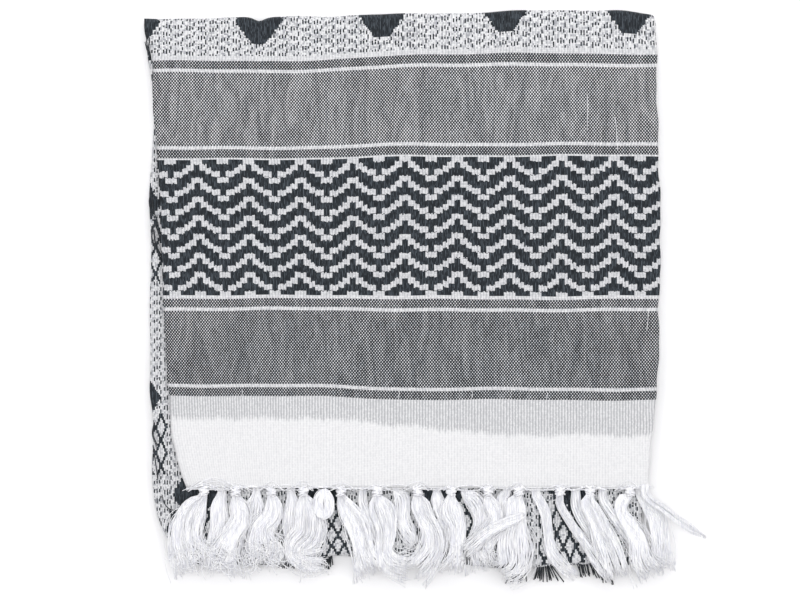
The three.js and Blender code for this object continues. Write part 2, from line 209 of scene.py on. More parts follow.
def looseness(x, y):
    # long soft swells of cloth that nobody ironed
    return (0.22 * np.sin(x / 38 + y / 90) + 0.16 * np.sin(y / 31 - x / 120)
            + 0.10 * np.sin(x / 15.5 + 1.7 * np.sin(y / 40)) + 0.06 * np.sin(y / 11 + x / 23))


def settle(y):
    return layers["settleDepth"] * smoothStep(y, 116, 200)


def foldStations(startY, foldY, height, foldHeight, count, foldCount, foldShare, backTo=None):
    # the way along the cloth, seen from the side: flat, round a big fold, and back
    side = 1 if foldY > startY else -1
    centre = foldY - side * layers["foldReach"]
    flat = np.linspace(startY, centre, count)
    angle = np.linspace(0, math.pi * foldShare, foldCount + 1)[1:]
    y = np.concatenate([flat, centre + side * layers["foldReach"] * np.sin(angle)])
    z = np.concatenate([np.full(count, height), height - foldHeight / 2 * (1 - np.cos(angle))])
    outY = np.concatenate([np.zeros(count), side * np.sin(angle)])
    outZ = np.concatenate([np.ones(count), np.cos(angle)])
    if backTo is not None:
        back = np.linspace(centre, backTo, max(4, int(abs(centre - backTo) / 3)))[1:]
        y = np.concatenate([y, back])
        z = np.concatenate([z, np.full(len(back), height - foldHeight)])
        outY = np.concatenate([outY, np.zeros(len(back))])
        outZ = np.concatenate([outZ, -np.ones(len(back))])
    length = np.concatenate([[0], np.cumsum(np.hypot(np.diff(y), np.diff(z)))])
    return list(zip(y, z, outY, outZ, length))


def crossSection(plain, turned, count, turnCount, tuck, turnDepth):
    # the way across: flat from the plain edge, round the side fold, and a little way back
    side = 1 if turned > plain else -1
    centre = turned - side * layers["edgeReach"]
    flat = np.linspace(plain, centre, count)
    angle = np.linspace(0, math.pi, turnCount + 1)[1:]
    back = centre - side * np.linspace(0, tuck, 4)[1:]
    x = np.concatenate([flat, centre + side * layers["edgeReach"] * np.sin(angle), back])
    depth = np.concatenate([np.zeros(count), turnDepth / 2 * (1 - np.cos(angle)), np.full(3, turnDepth)])
    steps = np.hypot(np.diff(x), np.diff(depth))
    flatX = plain + side * np.concatenate([[0], np.cumsum(steps)])
    return x, depth, flatX


def gridPiece(name, columns, rows):
    bpy.ops.object.select_all(action='DESELECT')
    bpy.ops.mesh.primitive_grid_add(x_subdivisions=columns - 1, y_subdivisions=rows - 1, size=2)
    piece = bpy.context.object
    piece.name = name
    piece.data.name = name
    return piece


def layCloth(name, points, clothX, clothY, thickness, flip=False):
    # shapes a grid into the folded sheet, keeps each point's place in the flat cloth as its weave map
    # and gives it its thickness. points: rows x columns x 3, the outside skin, in millimetres
    rows, columns = clothX.shape
    piece = gridPiece(name, columns, rows)
    mesh = piece.data
    mesh.vertices.foreach_set("co", (points * mm).reshape(-1).astype(np.float32))
    corner = np.empty(len(mesh.loops), dtype=np.int32)
    mesh.loops.foreach_get("vertex_index", corner)
    weave = np.stack([clothX.reshape(-1)[corner], clothY.reshape(-1)[corner]], axis=1) * mm
    while mesh.uv_layers:
        mesh.uv_layers.remove(mesh.uv_layers[0])
    mesh.uv_layers.new(name="weave").data.foreach_set("uv", weave.reshape(-1).astype(np.float32))
    if flip:
        mesh.flip_normals()
    mesh.update()
    selectOnly(piece)
    shell = piece.modifiers.new("thickness", 'SOLIDIFY')
    shell.thickness = thickness * mm
    shell.offset = -1
    bpy.ops.object.modifier_apply(modifier=shell.name)
    bpy.ops.object.shade_smooth()
    return piece


def gridArea(points):
    # area of the sheet, in square metres
    a = points[1:, :-1] - points[:-1, :-1]
    b = points[:-1, 1:] - points[:-1, :-1]
    return float(np.linalg.norm(np.cross(a, b), axis=2).sum()) * mm * mm


# how the woven threads run off square: the cloth is pulled in at its left side
def clothPlace(x, y, fromHem, edgeLeft, edgeAtStripe):
    skew = max(0, edgeLeft - edgeAtStripe) * (1 - smoothStep(x, -172, -70))
    acrossCloth = x - skew
    leftShare = 1 - smoothStep(x, -76, 20)
    tilt = (4.7 - 0.0305 * (312 - fromHem)) * leftShare
    wave = (0.28 * np.sin(x / 21 + fromHem / 47) + 0.2 * np.sin(x / 9.5 - fromHem / 33)
            + 0.2 * np.sin(x / 33 - fromHem / 19))
    return acrossCloth, fromHem + tilt + wave


def makeFlap():
    left = curveThrough(flapEdges, "y", "left")
    right = curveThrough(flapEdges, "y", "right")
    topOut = curveThrough(topFoldLine, "x", "out")
    way = foldStations(layers["hemY"], layers["topFoldY"], layers["top"], layers["field"],
                       count=138, foldCount=14, foldShare=1, backTo=124)
    points, clothX, clothY = [], [], []
    edgeAtStripe = float(left(94))
    for y, z, outY, outZ, length in way:
        x, depth, flatX = crossSection(float(left(y)), float(right(y)), 150, 12, 8, layers["turnDepth"])
        ys = np.full_like(x, y)
        topSide = max(outZ, 0) * (1 - depth / layers["turnDepth"])
        lift = (creaseHeight(flapCreases, x, ys) + looseness(x, ys)) * topSide
        # the selvage and the hem lie down on the layers below them
        lift -= 1.3 * topSide * (1 - smoothStep(x, left(y), left(y) + 7))
        lift -= 0.9 * topSide * (1 - smoothStep(ys, layers["hemY"], layers["hemY"] + 8))
        wobble = 0.5 * math.sin(y / 7.5) + 0.35 * math.sin(y / 3.1 + 1)
        x = x + wobble * (1 - smoothStep(x, left(y), left(y) + 12)) * 0.6
        ripple = 0.45 * math.sin(y / 8.3) + 0.3 * math.sin(y / 3.9 + 2)
        x = x + ripple * smoothStep(x, right(y) - 14, right(y))
        foldWave = (0.7 * np.sin(x / 17) + 0.5 * np.sin(x / 6.3 + 1)) * abs(outY)
        foldWave = foldWave * 0.5 + topOut(x) * float(smoothStep(y, 150, 200)) ** 1.6
        row = np.stack([x, y - outY * depth + foldWave, z - outZ * depth + lift - settle(y)], axis=1)
        cx, cy = clothPlace(flatX, ys, length, float(left(y)), edgeAtStripe)
        points.append(row)
        clothX.append(cx + patternPlace["flapShiftX"])
        clothY.append(cy)
    points, clothX, clothY = np.array(points), np.array(clothX), np.array(clothY)
    piece = layCloth("flap_cloth", points, clothX, clothY, layers["cloth"])
    return piece, gridArea(points)


def makeField():
    left = curveThrough(bodyEdges, "y", "left")
    right = curveThrough(bodyEdges, "y", "right")
    bottomOut = curveThrough(bottomFoldLine, "x", "out")
    way = foldStations(188, layers["bottomFoldY"], layers["field"], layers["field"],
                       count=132, foldCount=8, foldShare=0.5)
    points, clothX, clothY = [], [], []
    total = way[-1][-1]
    for y, z, outY, outZ, length in way:
        x, depth, flatX = crossSection(float(right(y)), float(left(y)), 130, 12, 8, layers["turnDepth"])
        ys = np.full_like(x, y)
        topSide = max(outZ, 0) * (1 - depth / layers["turnDepth"])
        bare = 1 - smoothStep(ys, -150, -138) * smoothStep(x, -178, -150)
        lift = (0.35 * np.sin(y / 13 + x / 19) + 0.3 * np.sin(x / 11 - y / 23)) * topSide * bare
        out = bottomOut(x) * float(1 - smoothStep(y, -198, -165))
        row = np.stack([x, y - outY * depth - out, z - outZ * depth + lift - settle(y)], axis=1)
        points.append(row)
        pulled = 3.4 * (1 - smoothStep(x, -186, -152))
        clothX.append(flatX + patternPlace["fieldShiftX"] - 0.011 * (x + 150) - pulled)
        clothY.append(np.full_like(x, patternPlace["fieldFoldFromHem"] + 1.0256 * (total - length))
                      - 0.025 * (x + 150) + 0.5 * np.sin(x / 17) + 0.4 * np.sin(y / 12 + x / 40))
    points, clothX, clothY = np.array(points), np.array(clothX), np.array(clothY)
    piece = layCloth("field_cloth", points, clothX, clothY, layers["cloth"])
    return piece, gridArea(points)


def makeBase():
    left = curveThrough(bodyEdges, "y", "left")
    right = curveThrough(bodyEdges, "y", "right")
    bottomOut = curveThrough(bottomFoldLine, "x", "out")
    way = foldStations(layers["lowerHemY"], layers["bottomFoldY"], 0, layers["field"],
                       count=112, foldCount=8, foldShare=0.5)
    points, clothX, clothY = [], [], []
    for y, z, outY, outZ, length in way:
        x, depth, flatX = crossSection(float(right(y)) - 1, float(left(y)) + 0.5, 110, 12, 8,
            layers["turnDepth"])
        ys = np.full_like(x, y)
        underSide = max(outZ, 0) * (1 - depth / layers["turnDepth"])
        away = smoothStep(np.hypot(x / 60, y / 60), 0.4, 1)
        lift = np.maximum(creaseHeight(baseCreases, x, ys), 0) * underSide * away
        out = bottomOut(x) * float(1 - smoothStep(y, -198, -165))
        row = np.stack([x, y - outY * depth - out, -(z - outZ * depth) + lift], axis=1)
        points.append(row)
        clothX.append(flatX)
        clothY.append(np.full_like(x, length) + 0.6 * np.sin(x / 23) + 0.4 * np.sin(x / 9))
    points, clothX, clothY = np.array(points), np.array(clothX), np.array(clothY)
    piece = layCloth("base_cloth", points, clothX, clothY, layers["cloth"], flip=True)
    return piece, gridArea(points)


def makeInnerLayers():
    # three folded pairs of hidden layers: their edges show at the sides
    left = curveThrough(bodyEdges, "y", "left")
    right = curveThrough(bodyEdges, "y", "right")
    flapLeft = curveThrough(flapEdges, "y", "left")
    flapRight = curveThrough(flapEdges, "y", "right")
    pairs = [
        dict(level=2, fromY=-188, toY=layers["lowerHemY"] - 3,
             plain=left, turned=right, plainIn=2.0, turnedIn=0.6),
        dict(level=4, fromY=-188, toY=186,
             plain=left, turned=right, plainIn=1.2, turnedIn=1.6),
        dict(level=7, fromY=layers["hemY"] + 2.5, toY=188,
             plain=flapRight, turned=flapLeft, plainIn=1.5, turnedIn=2.5),
    ]
    sheets = []
    area = 0
    for number, pair in enumerate(pairs):
        ys = np.linspace(pair["fromY"], pair["toY"], 90)
        points, clothX, clothY = [], [], []
        for y in ys:
            side = 1 if number < 2 else -1
            plainX = float(pair["plain"](y)) + side * pair["plainIn"] + 0.7 * math.sin(y / 17 + 2 * number)
            turnedX = float(pair["turned"](y)) - side * pair["turnedIn"] + 0.6 * math.sin(y / 23 + number)
            back = abs(turnedX - plainX) - layers["edgeReach"] - pair["turnedIn"]
            x, depth, flatX = crossSection(plainX, turnedX, 56, 8, back, layers["pitch"])
            bottom = (pair["level"] - 1) * layers["pitch"] + 0.15
            z = bottom + depth - settle(y) * (0 if pair["level"] == 2 else 1)
            points.append(np.stack([x, np.full_like(x, y), z], axis=1))
            clothX.append(flatX)
            clothY.append(np.full_like(x, y + 400))
        points, clothX, clothY = np.array(points), np.array(clothX), np.array(clothY)
        area += gridArea(points)
        # the first two pairs are laid upside down
        sheets.append(layCloth(f"inner_layer_{number}", points, clothX, clothY, layers["cloth"],
                flip=number < 2))
    bpy.ops.object.select_all(action='DESELECT')
    for sheet in sheets:
        sheet.select_set(True)
    bpy.context.view_layer.objects.active = sheets[0]
    bpy.ops.object.join()
    sheets[0].name = "inner_layers"
    sheets[0].data.name = "inner_layers"
    return sheets[0], area


thread = {
    "across": 1.045,         # from one lengthwise thread to the next, in mm
    "along": 1.27,           # from one crosswise row to the next
    "offset": 3600,          # keeps the counts above zero: a whole number of repeats
    "rowOffset": 110,
}
patternPlace = {
    "flapShiftX": 0.65,
    "peakX": 1.7,            # a zigzag peak stands here
    "peakFromHem": 154.94,   # top of the first white peak
    "dotX": -14.4, "dotFromHem": 343.9,
    "dotPitchX": 89.0, "dotPitchY": 144.0,
    "dotHalfWidth": 18.4, "dotHalfHeight": 18.0, "dotSlope": 0.68,
    "fieldShiftX": 2.1, "fieldFoldFromHem": 360.7,
    "netPitch": 4.6, "netWave": 19.0, "netFrom": -58.0, "netTo": -12.0, "netHalfWidth": 22.0,
}
# bands of the cloth from the hem inwards, in mm: where each starts, how it is woven, and for the
# checked ones how far the white thread shows at each crossing
bands = [
    dict(start=0, weave="plain"),
    dict(start=63.0, weave="check", white=0.35), dict(start=69.4, weave="plain"),
    dict(start=71.8, weave="check", white=0.357), dict(start=125.6, weave="plain"),
    dict(start=129.4, weave="check", white=0.35), dict(start=135.0, weave="plain"),
    dict(start=138.3, weave="zigzag"), dict(start=237.6, weave="plain"),
    dict(start=240.6, weave="check", white=0.35), dict(start=246.4, weave="plain"),
    dict(start=247.9, weave="check", white=0.415), dict(start=303.0, weave="plain"),
    dict(start=306.0, weave="check", white=0.35), dict(start=312.0, weave="plain"),
    dict(start=314.6, weave="spots"),
]
border = {
    "end": 63.5,             # the plain border, from the hem
    "greyFrom": 47.0,        # the layer underneath greys it from about here up
    "greyRise": 8.0,         # and from lower down at the right, between these two places
    "riseStart": -30, "riseEnd": 70,
    "waver": 9.0, "threadWaver": 2.6, "soft": 2.6,
}
# the grey of the white is painted shade in the thread gaps together with the floats showing through; the
# lighter black is each black thread's own tone and its painted highlights
yarn = dict(white="#efefef", whiteShadeAndShowThrough="#9b9da2", black="#1c2024", blackToneAndHighlight="#4e555c", showThrough="#cfd0d2")
rampLength = 400.0           # the band table is read over this many mm

# one repeat of the spots: 8 threads wide; from and tall in rows of a repeat 5.5 rows high
spots = [
    dict(thread=0, row=0.0, tall=2.0), dict(thread=3, row=2.6, tall=2.0), dict(thread=5, row=3.0, tall=1.3),
    dict(thread=5, row=4.7, tall=1.2), dict(thread=7, row=3.4, tall=1.6),
]
spotRepeat = dict(threads=8, rows=5.5, drift=0.0975)

# half of one zigzag repeat, from a peak to a valley: threads first to last, rows down from the peak
zigzag = [
    dict(first=0, last=3, row=0.0, tall=3.1), dict(first=2, last=6, row=3.1, tall=3.4),
    dict(first=6, last=9, row=5.2, tall=3.4), dict(first=10, last=15, row=7.1, tall=3.3),
    dict(first=14, last=17, row=10.8, tall=3.1),
]
zigzagRepeat = dict(threads=36, rows=11)


def wovenCotton(name, banded):
    # cotton, loosely plain woven with black pattern floats: matt, the threads show as fine ribs
    material = bpy.data.materials.new(name)
    material.use_nodes = True
    tree = material.node_tree
    tree.nodes.clear()
    node = partial(addNode, tree)
    place = node('UVMap', uv_map="weave")
    x = node('SeparateXYZ', place)
    y = node('SeparateXYZ', place, output=1)

    # each thread and row gets a whole number, and a place inside it from 0 to 1
    threadAt = node('Math ADD', node('Math MULTIPLY', x, 1 / (thread["across"] * mm)), thread["offset"])
    rowAt = node('Math ADD', node('Math MULTIPLY', y, 1 / (thread["along"] * mm)), thread["rowOffset"])
    threadNumber, rowNumber = node('Math FLOOR', threadAt), node('Math FLOOR', rowAt)
    inThread = node('Math SUBTRACT', node('Math FRACT', threadAt), 0.5)
    inRow = node('Math SUBTRACT', node('Math FRACT', rowAt), 0.5)
    checker = node('Math MODULO', node('Math ADD', threadNumber, rowNumber), 2.0)
    threadX = node('Math MULTIPLY', node('Math SUBTRACT', node('Math ADD', threadNumber, 0.5),
            thread["offset"]), thread["across"])
    rowY = node('Math MULTIPLY', node('Math SUBTRACT', node('Math ADD', rowNumber, 0.5),
            thread["rowOffset"]), thread["along"])

    # no two threads are alike
    perThread = node('TexWhiteNoise', noise_dimensions='2D',
        inputs={'Vector': node('CombineXYZ', inputs={0: threadNumber,
                1: node('Math FLOOR', node('Math MULTIPLY', rowNumber, 1 / 6))})})
    perCell = node('TexWhiteNoise', noise_dimensions='2D',
        inputs={'Vector': node('CombineXYZ', inputs={0: threadNumber, 1: rowNumber})})
    uneven = node('TexNoise', noise_dimensions='2D', inputs={'Vector': node('VectorMath MULTIPLY',
                place, (1.5, 0.3, 1)), 'Scale': 75.0, 'Detail': 4.0, 'Roughness': 0.62,
            'Distortion': 1.5})
    uneven = node('Math MULTIPLY', node('Math SUBTRACT', uneven, 0.5), 2.0)

    # spots: short black floats, charted over one repeat
    spotThread = node('Math MODULO', threadNumber, float(spotRepeat["threads"]))
    spotRow = node('Math MULTIPLY', node('Math FRACT',
            node('Math MULTIPLY', node('Math ADD', rowAt,
                node('Math MULTIPLY', threadNumber, spotRepeat["drift"])), 1 / spotRepeat["rows"])),
        spotRepeat["rows"])
    jitter = node('Math MULTIPLY', node('Math SUBTRACT', perThread, 0.5), 1.5)
    speck = None
    for spot in spots:
        onThread = node('Math COMPARE', spotThread, float(spot["thread"]), 0.3)
        down = node('Math ABSOLUTE', node('Math SUBTRACT', node('Math ADD', spotRow, jitter),
                spot["row"] + spot["tall"] / 2))
        one = node('Math MULTIPLY', onThread, node('Math LESS_THAN', down,
                node('Math ADD', spot["tall"] / 2 - 0.02, node('Math MULTIPLY', perCell, 0.35))))
        speck = one if speck is None else node('Math MAXIMUM', speck, one)

    # dots: eight-sided, stepped by the threads, in two interlocking lattices
    def dotDistance(shift):
        toX = node('Math SUBTRACT', node('Math FRACT',
                node('Math ADD', node('Math MULTIPLY',
                    node('Math SUBTRACT', threadX, patternPlace["dotX"]),
                    1 / patternPlace["dotPitchX"]), 10.5 + shift)), 0.5)
        toY = node('Math SUBTRACT', node('Math FRACT',
                node('Math ADD', node('Math MULTIPLY',
                    node('Math SUBTRACT', rowY, patternPlace["dotFromHem"]),
                    1 / patternPlace["dotPitchY"]), 10.5 + shift)), 0.5)
        return (node('Math ABSOLUTE', node('Math MULTIPLY', toX, patternPlace["dotPitchX"])),
            node('Math MULTIPLY', toY, patternPlace["dotPitchY"]))

    def dotShape(farX, farY):
        tall = node('Math ABSOLUTE', farY)
        wide = node('Math ADD', farX, node('Math MULTIPLY', tall, patternPlace["dotSlope"]))
        wide = node('Math ADD', wide, node('Math MULTIPLY', perThread, 1.4))
        return node('Math MULTIPLY', node('Math LESS_THAN', wide, patternPlace["dotHalfWidth"]),
            node('Math LESS_THAN', tall, patternPlace["dotHalfHeight"]))

    fieldBlack = speck
    net = None
    for shift in (0.0, 0.5):
        farX, farY = dotDistance(shift)
        fieldBlack = node('Math MAXIMUM', fieldBlack, dotShape(farX, farY))
        if not banded:
            inNet = node('Math MULTIPLY', node('Math LESS_THAN', farX, patternPlace["netHalfWidth"]),
                node('Math MULTIPLY', node('Math GREATER_THAN', farY, patternPlace["netFrom"]),
                    node('Math LESS_THAN', farY, patternPlace["netTo"])))
            net = inNet if net is None else node('Math MAXIMUM', net, inNet)
    if not banded:
        # below each dot the floats swing to and fro and meet, like a net
        column = node('Math MULTIPLY', threadX, 1 / patternPlace["netPitch"])
        swing = node('Math MULTIPLY', node('Math PINGPONG',
                node('Math MULTIPLY', rowY, 2 / patternPlace["netWave"]), 1.0), 0.94)
        inPair = node('Math PINGPONG', node('Math ADD', column, 100.0), 1.0)
        line = node('Math LESS_THAN', node('Math ABSOLUTE', node('Math SUBTRACT', inPair, swing)), 0.24)
        # inside the net there are no spots
        fieldBlack = node('Math MAXIMUM', node('Math MULTIPLY', fieldBlack,
                node('Math SUBTRACT', 1.0, node('Math MULTIPLY', net, speck))),
            node('Math MULTIPLY', line, net))

    if banded:
        # which weave this row has: red is the white spot of a check, green spots, blue zigzag
        bandColour = node('ValToRGB', node('Math MULTIPLY', rowY, 1 / rampLength))
        ramp = bandColour.node.color_ramp
        ramp.interpolation = 'CONSTANT'
        stops = ramp.elements
        while len(stops) > 1:
            stops.remove(stops[-1])
        for number, band in enumerate(bands):
            stop = stops[0] if number == 0 else stops.new(band["start"] / rampLength)
            stop.color = (band.get("white", 0), band["weave"] == "spots", band["weave"] == "zigzag", 1)
        whiteSpot, isField, isZigzag = [node('SeparateColor', bandColour, output=i) for i in range(3)]
        isCheck = node('Math GREATER_THAN', whiteSpot, 0.1)

        # zigzag, charted over half a repeat
        half = zigzagRepeat["threads"] / 2
        fromPeak = node('Math ABSOLUTE', node('Math SUBTRACT',
                node('Math MODULO', node('Math ADD', node('Math FLOOR',
                    node('Math MULTIPLY', node('Math SUBTRACT', threadX, patternPlace["peakX"]),
                    1 / thread["across"])), thread["offset"] + half), 2 * half), half - 0.5))
        rowDown = node('Math MODULO', node('Math ADD',
                node('Math MULTIPLY', node('Math SUBTRACT', patternPlace["peakFromHem"],
                    node('Math MULTIPLY', y, 1 / mm)), 1 / thread["along"]),
                node('Math ADD', 109.8, node('Math MULTIPLY', perThread, 0.9))),
            float(zigzagRepeat["rows"]))
        whiteLine = None
        for step in zigzag:
            middle, reach = (step["first"] + step["last"] + 1) / 2, (step["last"] - step["first"] + 1) / 2
            inStep = node('Math COMPARE', fromPeak, middle, reach)
            below = node('Math MODULO', node('Math ADD', rowDown, zigzagRepeat["rows"] - step["row"]),
                float(zigzagRepeat["rows"]))
            inStep = node('Math MULTIPLY', inStep, node('Math LESS_THAN', below, step["tall"]))
            whiteLine = inStep if whiteLine is None else node('Math MAXIMUM', whiteLine, inStep)
        zigzagBlack = node('Math SUBTRACT', 1.0, whiteLine)

        # check: at every other crossing a round spot of white thread comes up
        spotSize = node('Math MULTIPLY', whiteSpot, node('Math ADD', 1.0,
                node('Math MULTIPLY', uneven, 0.45)))
        toSpot = node('Math SQRT', node('Math ADD', node('Math MULTIPLY', inThread, inThread),
                node('Math MULTIPLY', inRow, inRow)))
        inSpot = node('MapRange', interpolation_type='SMOOTHSTEP',
            inputs={0: node('Math SUBTRACT', toSpot, spotSize), 1: -0.12, 2: 0.10, 3: 1.0, 4: 0.0})
        checkBlack = node('Math SUBTRACT', 1.0, node('Math MULTIPLY', inSpot, checker))

        black = node('Math MULTIPLY', isCheck, checkBlack)
        black = node('Math ADD', black, node('Math MULTIPLY', isZigzag, zigzagBlack))
        black = node('Math ADD', black, node('Math MULTIPLY', isField, fieldBlack), use_clamp=True)
    else:
        black = fieldBlack

    # white cotton: painted shade in a faint gap at every thread, a deeper one at every pair, and the rows
    # across
    threadLine = node('Math POWER', node('Math ABSOLUTE',
            node('Math SINE', node('Math MULTIPLY', threadAt, math.pi))), 1.5)
    pairLine = node('Math POWER', node('Math ABSOLUTE',
            node('Math COSINE', node('Math MULTIPLY', threadAt, math.pi / 2))), 5.0)
    rowLine = node('Math POWER', node('Math ABSOLUTE',
            node('Math COSINE', node('Math MULTIPLY', rowAt, math.pi))), 3.0)
    gapShadeAndShowThrough = node('Math ADD', node('Math MULTIPLY', pairLine, 0.5),
        node('Math MULTIPLY', node('Math SUBTRACT', 1.0, threadLine),
            node('Math ADD', 0.3, node('Math MULTIPLY', rowLine, 0.6))))
    # where the pattern floats run behind the white, they grey it; the same amount deepens the painted shade
    # in the gaps
    behind = node('Math ADD', 0.18, node('Math MULTIPLY', node('Math SUBTRACT', perCell, 0.5), 0.12))
    if banded:
        narrow = node('Math MULTIPLY', node('Math GREATER_THAN', y, border["end"] * mm),
            node('Math SUBTRACT', 1.0, isCheck))
        behind = node('Math ADD', behind, node('Math MULTIPLY', narrow, 0.26))
        behind = node('Math ADD', behind, node('Math MULTIPLY',
                node('Math MULTIPLY', narrow, node('Math SUBTRACT', perCell, 0.5)), 0.2))
        behind = node('Math ADD', behind, node('Math MULTIPLY', isZigzag, 0.1))
        behind = node('Math ADD', behind, node('Math MULTIPLY', isField,
                node('Math SUBTRACT', node('Math MULTIPLY', node('Math POWER', perCell, 3.0), 0.7),
                    0.08)))
    else:
        behind = node('Math ADD', behind, node('Math ADD',
                node('Math MULTIPLY', node('Math POWER', perCell, 3.0), 0.7), 0.18))
    # the painted shade of the gaps and the grey of the floats behind, mixed towards the grey
    gapShadeAndShowThrough = node('Math ADD', node('Math MULTIPLY', gapShadeAndShowThrough, node('Math ADD', behind, 0.1)),
        node('Math MULTIPLY', node('Math SUBTRACT', behind, 0.1), 0.75), use_clamp=True)
    whiteYarn = node('Mix', data_type='RGBA', output=2,
        inputs={0: gapShadeAndShowThrough, 6: toLinear(yarn["white"]), 7: toLinear(yarn["whiteShadeAndShowThrough"])})

    if banded:
        # the striped layer underneath greys the plain border down to a wavy line
        edge = node('Math SUBTRACT', border["greyFrom"],
            node('MapRange', interpolation_type='SMOOTHSTEP',
                inputs={0: x, 1: border["riseStart"] * mm, 2: border["riseEnd"] * mm, 3: 0.0,
                    4: border["greyRise"]}))
        ripple = node('TexNoise', noise_dimensions='1D',
            inputs={'W': node('Math MULTIPLY', x, 34.0), 'Scale': 1.0, 'Detail': 4.0})
        edge = node('Math ADD', edge, node('Math MULTIPLY', node('Math SUBTRACT', ripple, 0.5),
                border["waver"]))
        edge = node('Math ADD', edge, node('Math MULTIPLY', node('Math SUBTRACT', perThread, 0.5),
                border["threadWaver"]))
        shade = node('MapRange', interpolation_type='SMOOTHSTEP',
            inputs={0: node('Math SUBTRACT', node('Math MULTIPLY', y, 1 / mm), edge),
                1: -border["soft"], 2: border["soft"], 3: 0.0, 4: 1.0})
        shade = node('Math MULTIPLY', shade, node('Math LESS_THAN', y, border["end"] * mm))
        # it shows most in the gaps between the threads
        shade = node('Math MULTIPLY', shade, node('Math ADD', 0.2,
                node('Math ADD', node('Math MULTIPLY', pairLine, 1.35),
                    node('Math MULTIPLY', perCell, 0.35))))
        whiteYarn = node('Mix', data_type='RGBA', blend_type='MULTIPLY', output=2,
            inputs={0: shade, 6: whiteYarn, 7: toLinear(yarn["showThrough"])})

    # black cotton floats: every thread its own depth of black, and a painted highlight between some of them
    streak = node('TexNoise', noise_dimensions='2D', inputs={'Vector': node('CombineXYZ',
                inputs={0: node('Math MULTIPLY', threadAt, 1.3),
                1: node('Math MULTIPLY', rowAt, 0.22)}), 'Scale': 1.0, 'Detail': 2.0, 'Roughness': 0.6})
    glint = node('MapRange', interpolation_type='SMOOTHSTEP',
        inputs={0: node('Math ABSOLUTE', inThread), 1: 0.30, 2: 0.5, 3: 0.0, 4: 1.0})
    glint = node('Math MULTIPLY', glint, node('MapRange', interpolation_type='SMOOTHSTEP',
            inputs={0: streak, 1: 0.44, 2: 0.62, 3: 0.0, 4: 1.0}))
    # the painted highlight lifts the black towards its lighter grey, together with each thread's own tone
    lightness = node('Math ADD', node('Math MULTIPLY', glint, 1.9),
        node('Math MULTIPLY', node('Math SUBTRACT', streak, 0.3), 0.6))
    blackYarn = node('Mix', data_type='RGBA', clamp_factor=False, output=2,
        inputs={0: lightness, 6: toLinear(yarn["black"]), 7: toLinear(yarn["blackToneAndHighlight"])})
    colour = node('Mix', data_type='RGBA', output=2, inputs={0: black, 6: whiteYarn, 7: blackYarn})

    # the relief of the threads
    rib = node('Math COSINE', node('Math MULTIPLY', inThread, math.pi))
    crossRib = node('Math COSINE', node('Math MULTIPLY', inRow, math.pi))
    height = node('Math ADD', node('Math MULTIPLY', rib, 0.6),
        node('Math MULTIPLY', crossRib, node('Math SUBTRACT', 0.4, node('Math MULTIPLY', black, 0.3))))
    relief = node('Bump', inputs={'Strength': 0.3, 'Distance': 0.3 * mm, 'Height': height})

    shader = node('BsdfPrincipled', inputs={'Base Color': colour, 'Normal': relief, 'Roughness': 0.92,
            'Specular IOR Level': 0.25, 'Sheen Weight': 0.08})
    node('OutputMaterial', shader)
    return material


def spunYarn(name, light, shadeBetweenThreads, roughness):
    # soft spun cotton yarn: matt, with painted shade between its threads
    material = bpy.data.materials.new(name)
    material.use_nodes = True
    tree = material.node_tree
    tree.nodes.clear()
    node = partial(addNode, tree)
    place = node('TexCoord', output='Object')
    streak = node('TexNoise', inputs={'Vector': node('VectorMath MULTIPLY', place, (1.0, 0.12, 1.0)),
            'Scale': 900.0, 'Detail': 3.0, 'Roughness': 0.6})
    spread = node('MapRange', inputs={0: streak, 1: 0.35, 2: 0.62, 3: 0.0, 4: 1.0})
    # the second colour is painted shade between the threads
    colour = node('Mix', data_type='RGBA', output=2, inputs={0: spread, 6: toLinear(shadeBetweenThreads),
            7: toLinear(light)})
    relief = node('Bump', inputs={'Strength': 0.3, 'Distance': 0.15 * mm, 'Height': streak})
    shader = node('BsdfPrincipled', inputs={'Base Color': colour, 'Normal': relief,
            'Roughness': roughness, 'Specular IOR Level': 0.3, 'Sheen Weight': 0.1})
    node('OutputMaterial', shader)
    return material


# threads, yarns and knots: round tubes swept along given ways

def sweepThreads(name, ways, sides=4):
    # ways: a list of (points, radii), in millimetres; every way becomes a closed tube of one mesh
    vertices, faces = [], []
    start = 0
    turn = 2 * math.pi * np.arange(sides) / sides
    for points, radii in ways:
        points = np.asarray(points, float)
        count = len(points)
        radii = np.broadcast_to(np.asarray(radii, float), (count,))
        ahead = np.gradient(points, axis=0)
        ahead /= np.maximum(np.linalg.norm(ahead, axis=1, keepdims=True), 1e-9)
        aside = np.cross(ahead, [0, 0, 1])
        flat = np.linalg.norm(aside, axis=1, keepdims=True)
        aside = np.where(flat > 0.05, aside / np.maximum(flat, 1e-9), [[1.0, 0, 0]])
        above = np.cross(aside, ahead)
        ring = (points[:, None] + radii[:, None, None] * (
            np.cos(turn)[None, :, None] * aside[:, None] + np.sin(turn)[None, :, None] * above[:, None]))
        vertices.append(ring.reshape(-1, 3))
        lower = start + np.arange(count - 1)[:, None] * sides + np.arange(sides)[None]
        nextAround = start + np.arange(count - 1)[:, None] * sides + (np.arange(sides)[None] + 1) % sides
        quads = np.stack([lower, nextAround, nextAround + sides, lower + sides], axis=2).reshape(-1, 4)
        faces += quads.tolist()
        faces.append(list(range(start + sides - 1, start - 1, -1)))
        faces.append(list(range(start + (count - 1) * sides, start + count * sides)))
        start += count * sides
    mesh = bpy.data.meshes.new(name)
    mesh.from_pydata((np.concatenate(vertices) * mm).tolist(), [], faces)
    mesh.update()
    piece = bpy.data.objects.new(name, mesh)
    bpy.context.collection.objects.link(piece)
    selectOnly(piece)
    bpy.ops.object.mode_set(mode='EDIT')
    bpy.ops.mesh.select_all(action='SELECT')
    bpy.ops.mesh.normals_make_consistent(inside=False)
    bpy.ops.object.mode_set(mode='OBJECT')
    bpy.ops.object.shade_smooth()
    return piece


